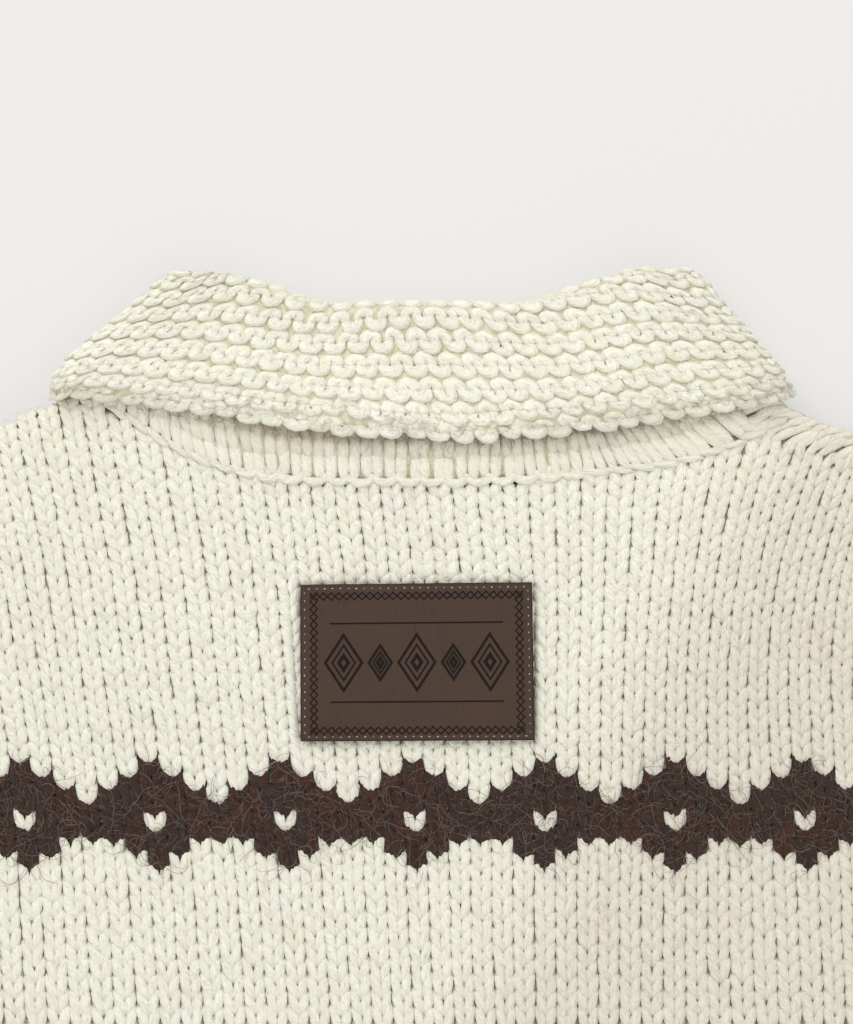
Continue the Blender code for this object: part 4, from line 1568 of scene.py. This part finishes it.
class PULLOVER_OT_stage(bpy.types.Operator):
    """Lay the floor, set the lights and hang the camera over the yoke"""

    bl_idname = "pullover.stage"
    bl_label = "Floor, lights and camera"

    def execute(self, context):
        scene = context.scene
        s = scene.pullover_stage
        self.floor(s)
        world = bpy.data.worlds.new("Soft room")
        world.use_nodes = True
        back = world.node_tree.nodes["Background"]
        back.inputs["Color"].default_value = (1.0, 0.995, 0.985, 1)
        back.inputs["Strength"].default_value = s.sky
        scene.world = world
        middle = (Vector((ORIGIN_X, ORIGIN_Y, 0)) + Vector(VIEW_MIDDLE)) * MM
        self.light("Key", s.key, 1.6, KEY_FROM, middle, (1.0, 0.985, 0.96))
        self.light("Fill", s.key * 0.22, 1.8, FILL_FROM, middle, (0.98, 0.99, 1.0))
        self.camera(scene, s, middle)
        scene.view_settings.view_transform = "Standard"  # so that the yarn's own colours show
        return {"FINISHED"}

    def floor(self, s):
        f = Finish("floor")
        grain = f.noise(f.place(), 3.0, 2.0)
        tint = f.blend(s.floor, [v * 0.985 for v in s.floor], grain)
        # It partly glows by itself, so that it stays pale and the shadows on it stay soft.
        lit, glow = (f.blend(tint, (0.0, 0.0, 0.0), share) for share in (0.6, 0.416))
        f.surface(
            Base_Color=lit,
            Roughness=0.9,
            Specular_IOR_Level=0.0,
            Emission_Color=glow,
            Emission_Strength=1.0,
        )
        mesh = bpy.data.meshes.new("floor")
        corners = [(FLOOR_HALF * x, FLOOR_HALF * y, 0) for x, y in ((-1, -1), (1, -1), (1, 1), (-1, 1))]
        mesh.from_pydata(corners, [], [(0, 1, 2, 3)])
        mesh.materials.append(f.material)
        put("floor", mesh)

    def light(self, name, power, size, away, target, tint):
        data = bpy.data.lights.new(name, "AREA")
        data.shape = "DISK"
        data.size = size
        data.energy = power
        data.color = tint
        lamp = put(name, data)
        lamp.location = target + Vector(away)
        lamp.rotation_euler = (target - lamp.location).to_track_quat("-Z", "Y").to_euler()

    def camera(self, scene, s, middle):
        data = bpy.data.cameras.new("Camera")
        data.sensor_width = 36.0
        data.lens = data.sensor_width * s.height / VIEW_TALL
        data.clip_end = 100.0
        scene.camera = put("Camera", data)
        scene.camera.location = middle + Vector((0, 0, s.height))


class PULLOVER_OT_body(bpy.types.Operator):
    """Knit the back with its diamond band, and the front beneath it"""

    bl_idname = "pullover.body"
    bl_label = "Back and front"

    def execute(self, context):
        self.panel("back", BodyLayer(), back_top, knit_top, 1)
        self.panel("front", BodyLayer(under=True), front_top, front_knit_top, 2)
        return {"FINISHED"}

    def panel(self, name, layer, top_edge, stitch_top, key):
        s, t, course, tone, x = body_stitches(layer, stitch_top)
        wale = np.full(len(s), gauge()[0])
        fine = (np.abs(x) < VIEW_HALF) & (t > VIEW_LOW) & (not layer.under)
        halves = (("left", x < 0), ("right", x >= 0))
        if layer.under:
            groups = [(half, PLAIN, there) for half, there in halves]
        else:
            groups = [(f"yoke_{half}", FINE, fine & there) for half, there in halves]
            groups += [(half, COARSE, ~fine & there) for half, there in halves]
        for number, (part, detail, chosen) in enumerate(groups):
            yarn = Yarn()
            each = [values[chosen] for values in (s, t, wale, course, tone)]
            stitches(yarn, layer.at, *each, detail, key * 10 + number)
            if not layer.under:
                dark = chosen & (tone > 0.5)
                underlay(yarn, layer.at, s[dark], t[dark], course[dark], key * 10 + 5 + number)
            yarn.build(f"{name}_knit_{part}", "knit_body")
        sheet = body_backing(f"{name}_cloth", layer, top_edge)
        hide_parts(f"{name}_panel")
        flat = (2 * BODY_HALF * MM, (back_top(np.array(NECK_HALF[1])).item() - HEM_JOIN_Y) * MM)


class PULLOVER_OT_sleeves(bpy.types.Operator):
    """Knit both sleeves, plain, as flattened tubes"""

    bl_idname = "pullover.sleeves"
    bl_label = "Sleeves"

    def execute(self, context):
        for name, side, key in (("left", -1, 3), ("right", 1, 4)):
            self.sleeve(name, side, key)
        return {"FINISHED"}

    def sleeve(self, name, side, key):
        cut = SleeveCut(side)
        layers = both_layers(f"sleeve_{name}", cut.wrist, cut.up, cut.edges, side)
        wale, course = gauge()
        for layer, detail, part in zip(layers, (COARSE, PLAIN), ("upper", "lower")):
            s, t = tube_stitches(layer, cut.top, wale, course)
            _, high = cut.edges(t)
            reach = layer.plan(high - s, t + 1.45 * course)[..., 0]
            inside = reach > BODY_HALF + 0.6
            s, t = s[inside], t[inside]
            yarn = Yarn()
            same = np.ones(len(s))
            sizes = (same * wale, same * course)
            stitches(yarn, layer.at, s, t, *sizes, same * 0, detail, key * 10 + layer.under)
            yarn.build(f"sleeve_{name}_knit_{part}", "knit_body")
        tops = (cut.high_top, cut.low_top)
        sheet = tube_backing(f"sleeve_{name}_cloth", layers, tops, 44, "knit_body")
        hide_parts(f"sleeve_{name}")


class PULLOVER_OT_ribs(bpy.types.Operator):
    """Knit the ribbed hem and cuffs, two knit columns to a purl valley"""

    bl_idname = "pullover.ribs"
    bl_label = "Ribbed hem and cuffs"

    def execute(self, context):
        deep = HEM_JOIN_Y - 0.3 - HEM_Y
        for part, under, key in (("back", False, 5), ("front", True, 6)):
            layer = TubeLayer(f"hem_rib_{part}", (0.0, HEM_Y), (0.0, 1.0), straight(RIB_HALF), under)
            made = self.rib(f"hem_rib_{part}_knit", [layer], deep, key)
            place = in_grid(np.linspace(-SPILL, 2 * RIB_HALF + SPILL, 72), np.linspace(0.2, deep, 8))
            sheet = shell(f"hem_rib_{part}_cloth", layer, *place, "knit_rib")
            wide = 2 * (RIB_HALF + SPILL)
            self.declare(sheet, f"hem_rib_{part}", (wide, deep), made, [] if under else ["hem_rib_front"])
        for name, side, key in (("left", -1, 7), ("right", 1, 8)):
            cut = SleeveCut(side)
            origin = cut.wrist - cut.up * (CUFF_LENGTH + 0.3)
            layers = both_layers(f"cuff_{name}", origin, cut.up, straight(CUFF_HALF), side)
            made = self.rib(f"cuff_{name}_knit", layers, CUFF_LENGTH, key)
            tops = (CUFF_LENGTH, CUFF_LENGTH)
            sheet = tube_backing(f"cuff_{name}_cloth", layers, tops, 8, "knit_rib")
            around = 4 * (CUFF_HALF + SPILL)
            self.declare(sheet, f"cuff_{name}", (around, CUFF_LENGTH), made, [])
        return {"FINISHED"}

    def rib(self, name, layers, deep, key):
        """Rib over each layer, from the open end up to a height."""
        yarn = Yarn()
        _, course = gauge()
        for number, layer in enumerate(layers):
            low, high = layer.edges(np.array(0.0))
            wide = float(high - low) + 2 * SPILL
            repeats = round(wide / RIB_REPEAT)
            step = wide / repeats
            middles = (np.arange(repeats) + 0.5) * step - SPILL
            rows = np.arange(0.3, deep - 1.4 * course, course)
            centre, t = (g.ravel() for g in in_grid(middles, rows))
            detail = PLAIN if layer.under else COARSE
            for column, side in enumerate((-1, 1)):
                s = centre + side * step * RIB_OFF
                sizes = (np.full(len(s), step * RIB_WIDE), np.full(len(s), course))
                stitches(yarn, layer.at, s, t, *sizes, s * 0, detail, key * 10 + number * 2 + column)
            purl_rows = np.arange(1.8, deep - 0.5, course)
            valley, t = (g.ravel() for g in in_grid(middles[:-1] + step / 2, purl_rows))
            share = np.array([0, 0.5, 1.0]) if layer.under else np.array([0, 0.3, 0.7, 1.0])
            arch = np.sin(math.pi * share)
            n = len(valley)
            across = valley[:, None] + (share - 0.5) * step * PURL_WIDE
            up = t[:, None] - 0.7 * arch + 0.25 * swing(n, key, 7)[:, None]
            path = together(across, up, -3.1 + 0.7 * arch)
            radius = np.broadcast_to(1.55 * arch**0.4, (n, len(share)))
            strands(yarn, layer.at, path, radius, 3, np.zeros(n), draws(n, key, 8))
        return [yarn.build(name, "knit_rib")]

    def declare(self, sheet, node, flat, made, rests_on):
        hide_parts(node)


class PULLOVER_OT_collar(bpy.types.Operator):
    """Knit the folded collar: a stand of plain knitting and a leaf of garter ridges"""

    bl_idname = "pullover.collar"
    bl_label = "Collar"

    def execute(self, context):
        ring = LeafRing()
        back, front = Yarn(), Yarn()
        for row, (share, tall, messy) in enumerate(GARTER_ROWS):
            s, pitch = ring.stitch_places(share * LEAF_LENGTH)
            shown = ridge_place(ring.place(s), np.full_like(s, share * LEAF_LENGTH)) > SHOWN_FROM
            visible = ring.at_back(s)
            for yarn, chosen, fine in ((back, visible & shown, True), (front, ~visible & shown, False)):
                garter_row(yarn, ring, s[chosen], pitch[chosen], share, tall, messy, fine, 90 + row)
        stand = Yarn()
        stand_columns(stand, 120)
        parts = (("garter_back", back), ("garter_front", front), ("stand_knit", stand))
        made = [yarn.build(f"collar_{part}", "knit_collar") for part, yarn in parts]
        sheet = collar_backing()
        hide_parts("collar")
        return {"FINISHED"}


class PULLOVER_OT_seams(bpy.types.Operator):
    """Work the chain round the neck and the right shoulder's slanted strip"""

    bl_idname = "pullover.seams"
    bl_label = "Neck seam and shoulder"

    def execute(self, context):
        chain, strip = Yarn(), Yarn()
        neck_chain(chain, 150)
        chain.build("neck_chain", "knit_collar")
        shoulder_strip(strip, BodyLayer(), 160)
        strip.build("shoulder_strip_right", "knit_body")
        return {"FINISHED"}


def patch_lie(x, y):
    """Where a point of the straight-cut patch lies: its upper right corner is pulled a little."""
    wide, tall = PATCH_SIZE
    over, up = (x - PATCH[0]) / wide, (y - PATCH[2]) / tall
    return x + over * (0.3 - 0.9 * up), y + over * (0.4 + 0.4 * up) - 0.1


class PULLOVER_OT_patch(bpy.types.Operator):
    """Cut the leather patch, press its ornament and sew it on"""

    bl_idname = "pullover.patch"
    bl_label = "Leather patch"

    def execute(self, context):
        heights = BodyLayer().heights
        patch = self.leather(heights)
        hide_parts("leather_patch")
        thread = self.thread(heights)
        return {"FINISHED"}

    def leather(self, heights):
        left, right, bottom, top = PATCH
        inset = np.array([0.0, 0.0, 0.12, 0.45, 1.0])  # in from the cut edge, and how high there
        rise = np.array([-PATCH_WALL, -0.4, -0.14, -0.03, 0.0])
        places, drops = [], []
        for low, high, count in ((left, right, 40), (bottom, top, 28)):
            inside = np.linspace(low + 2, high - 2, count)
            places.append(np.concatenate([low + inset, inside, (high - inset)[::-1]]))
            drops.append(np.concatenate([rise, np.zeros(count), rise[::-1]]))
        gx, gy = in_grid(*places)
        drop = np.minimum(*in_grid(*drops))
        face = np.concatenate([np.stack([gx - left, gy - bottom], -1).reshape(-1, 2)] * 2)
        gx, gy = patch_lie(gx, gy)
        low = heights.at(gx, gy) + PATCH_OFF
        ripple = 0.12 * np.sin(gx * 0.21 + 1) * np.sin(gy * 0.27)
        upper = np.stack([gx, gy, low + PATCH_WALL + np.maximum(drop, -PATCH_WALL) + ripple], -1)
        lower = np.stack([gx, gy, low + ripple - 0.01], -1)
        patch = closed_grid("leather_patch_cut", upper, lower, brown_leather(), "patch_leather")
        corners = np.empty(len(patch.data.loops), int)
        patch.data.loops.foreach_get("vertex_index", corners)
        put_map(patch.data, "Face", face[corners])
        return patch

    def thread(self, heights):
        left, right, bottom, top = np.array(PATCH) + THREAD_IN * np.array((1, -1, 1, -1))
        corners = np.array([(left, top), (right, top), (right, bottom), (left, bottom)])
        spots = []
        for a, b in zip(corners, np.roll(corners, -1, axis=0)):
            size = float(np.linalg.norm(b - a))
            count = round(size / THREAD_STEP)
            way = (b - a) / size
            for k in range(count):
                spots.append((*(a + (b - a) * (k + 0.5) / count), *way))
        spots = np.array(spots)
        spots[:, 0], spots[:, 1] = patch_lie(spots[:, 0], spots[:, 1])
        n = len(spots)
        share = np.array([0, 0.2, 0.5, 0.8, 1.0])
        arch = np.sin(math.pi * share)
        reach = (share - 0.5)[None, :, None] * 0.75
        plan = spots[:, None, :2] + spots[:, None, 2:] * reach + 0.06 * swing(2 * n, 170).reshape(n, 1, 2)
        path = together(plan[..., 0], plan[..., 1], PATCH_OFF + PATCH_WALL - 0.10 + 0.16 * arch)

        def place(x, y, h):
            return np.stack([x, y, heights.at(x, y) + h], -1)

        yarn = Yarn()
        radius = (0.16 + 0.10 * draws(n, 172))[:, None] * arch**0.5
        strands(yarn, place, path, radius, 6, np.zeros(n), draws(n, 171), deep_from=3.0)
        return yarn.build("patch_thread", "patch_leather", sewing_thread())


# How many fibres are raised, before those that would lie off their part are left out.
BAND_FIBRES, YOKE_FIBRES = 2300, 5200
LEAF_FIBRES = (300, 700, 700)  # long ones, short ones, and those near the free edge
EDGE_FIBRES = 620  # under that edge


class PULLOVER_OT_fibres(bpy.types.Operator):
    """Raise the alpaca's loose fibres over the yoke, band and collar"""

    bl_idname = "pullover.fibres"
    bl_label = "Loose fibres"

    def execute(self, context):
        back = BodyLayer()
        self.over_band(back)
        self.over_yoke(back)
        self.over_collar()
        return {"FINISHED"}

    def over_band(self, layer):
        yarn = Yarn()
        n = BAND_FIBRES
        s = (draws(n, 200) * 2 - 1) * (VIEW_HALF + 6)
        t = BAND_Y + BAND_COURSE * (draws(n, 201) * 9.4 - 0.6)
        column = np.rint((s - BAND_SHIFT) / gauge()[0]).astype(int)
        row = np.floor((t - BAND_Y - 2) / BAND_COURSE).astype(int)
        on_brown = band_tone(column, row) > 0.5
        s, t = s[on_brown], t[on_brown]
        hairs(yarn, layer.at, s, t, (3.5, 15.0), 0.08, 1.0, 210, curl=2.4)
        yarn.build("band_fibres", "knit_body", loose_hair())

    def over_yoke(self, layer):
        yarn = Yarn()
        n = YOKE_FIBRES
        s = (draws(n, 220) * 2 - 1) * VIEW_HALF
        t = VIEW_LOW + draws(n, 221) * (30 - VIEW_LOW)
        keep = (t < knit_top(s) - 2) & (under_patch(s, t) < 0.05) & ((t < BAND_Y - 6) | (t > BAND_Y + 36))
        s, t = s[keep], t[keep]
        fifth = len(s) // 5
        hairs(yarn, layer.at, s[:fifth], t[:fifth], (3.0, 8.0), 0.05, 0.0, 230, curl=1.2)
        hairs(yarn, layer.at, s[fifth:], t[fifth:], (1.5, 4.0), 0.085, 0.0, 231, 0.6, 4, 0.75, 0.4)
        yarn.build("yoke_fibres", "knit_body", loose_hair())

    def over_collar(self):
        yarn = Yarn()
        ring = LeafRing()
        n = sum(LEAF_FIBRES)
        s = ring.back_span(draws(n, 240))
        t = draws(n, 241) * LEAF_LENGTH * 1.28 - LEAF_LENGTH * 0.25
        long, short, low = np.split(np.arange(n), np.cumsum(LEAF_FIBRES)[:-1])
        hairs(yarn, ring.at, s[long], t[long], (2.5, 7.0), 0.055, 0.0, 250, curl=1.2)
        hairs(yarn, ring.at, s[short], t[short], (1.5, 3.5), 0.085, 0.0, 251, 0.7, 4, math.pi, 0.4)
        t = LEAF_LENGTH * (1.0 - 0.18 * draws(len(low), 242) ** 1.5)
        tone = 0.15 + 0.4 * draws(len(low), 243)
        hairs(yarn, ring.at, s[low], t, (1.5, 4.5), 0.085, tone, 252, 1.2, 5, math.pi, 0.5)
        # Tan hairs under the leaf's edge: loose fibres whose tan is partly painted shadow of the leaf.
        n = EDGE_FIBRES
        x = draws(n, 260) * 194 - 94
        y = leaf_low_edge(x) + 0.8 - 4.0 * draws(n, 261) ** 1.3
        hairs(yarn, neck_face, x, y, (2.0, 6.5), 0.095, 0.35 + 0.5 * draws(n, 263), 262, curl=1.8)
        yarn.build("collar_fibres", "knit_collar", loose_hair())


class PULLOVER_PT_panel(bpy.types.Panel):
    """Shows the pullover's settings and a button for each of its steps"""

    bl_label = "Pullover"
    bl_idname = "PULLOVER_PT_panel"
    bl_space_type = "VIEW_3D"
    bl_region_type = "UI"
    bl_category = "Pullover"

    def draw(self, context):
        for group in SETTINGS:
            settings = getattr(context.scene, group)
            for key in settings.__annotations__:
                self.layout.prop(settings, key)
        for operator in OPERATORS:
            self.layout.operator(operator.bl_idname)


SETTINGS = {
    "pullover_knit": KnitSettings,
    "pullover_finish": FinishSettings,
    "pullover_stage": StageSettings,
}
OPERATORS = (
    PULLOVER_OT_stage,
    PULLOVER_OT_body,
    PULLOVER_OT_sleeves,
    PULLOVER_OT_ribs,
    PULLOVER_OT_collar,
    PULLOVER_OT_seams,
    PULLOVER_OT_patch,
    PULLOVER_OT_fibres,
)
CLASSES = (*SETTINGS.values(), *OPERATORS, PULLOVER_PT_panel)


def register():
    for each in CLASSES:
        bpy.utils.register_class(each)
    for name, group in SETTINGS.items():
        setattr(bpy.types.Scene, name, PointerProperty(type=group))


def unregister():
    for name in SETTINGS:
        delattr(bpy.types.Scene, name)
    for each in reversed(CLASSES):
        bpy.utils.unregister_class(each)


def main():
    register()
    for operator in OPERATORS:
        group, name = operator.bl_idname.split(".")
        getattr(getattr(bpy.ops, group), name)()


if __name__ == "__main__":
    main()
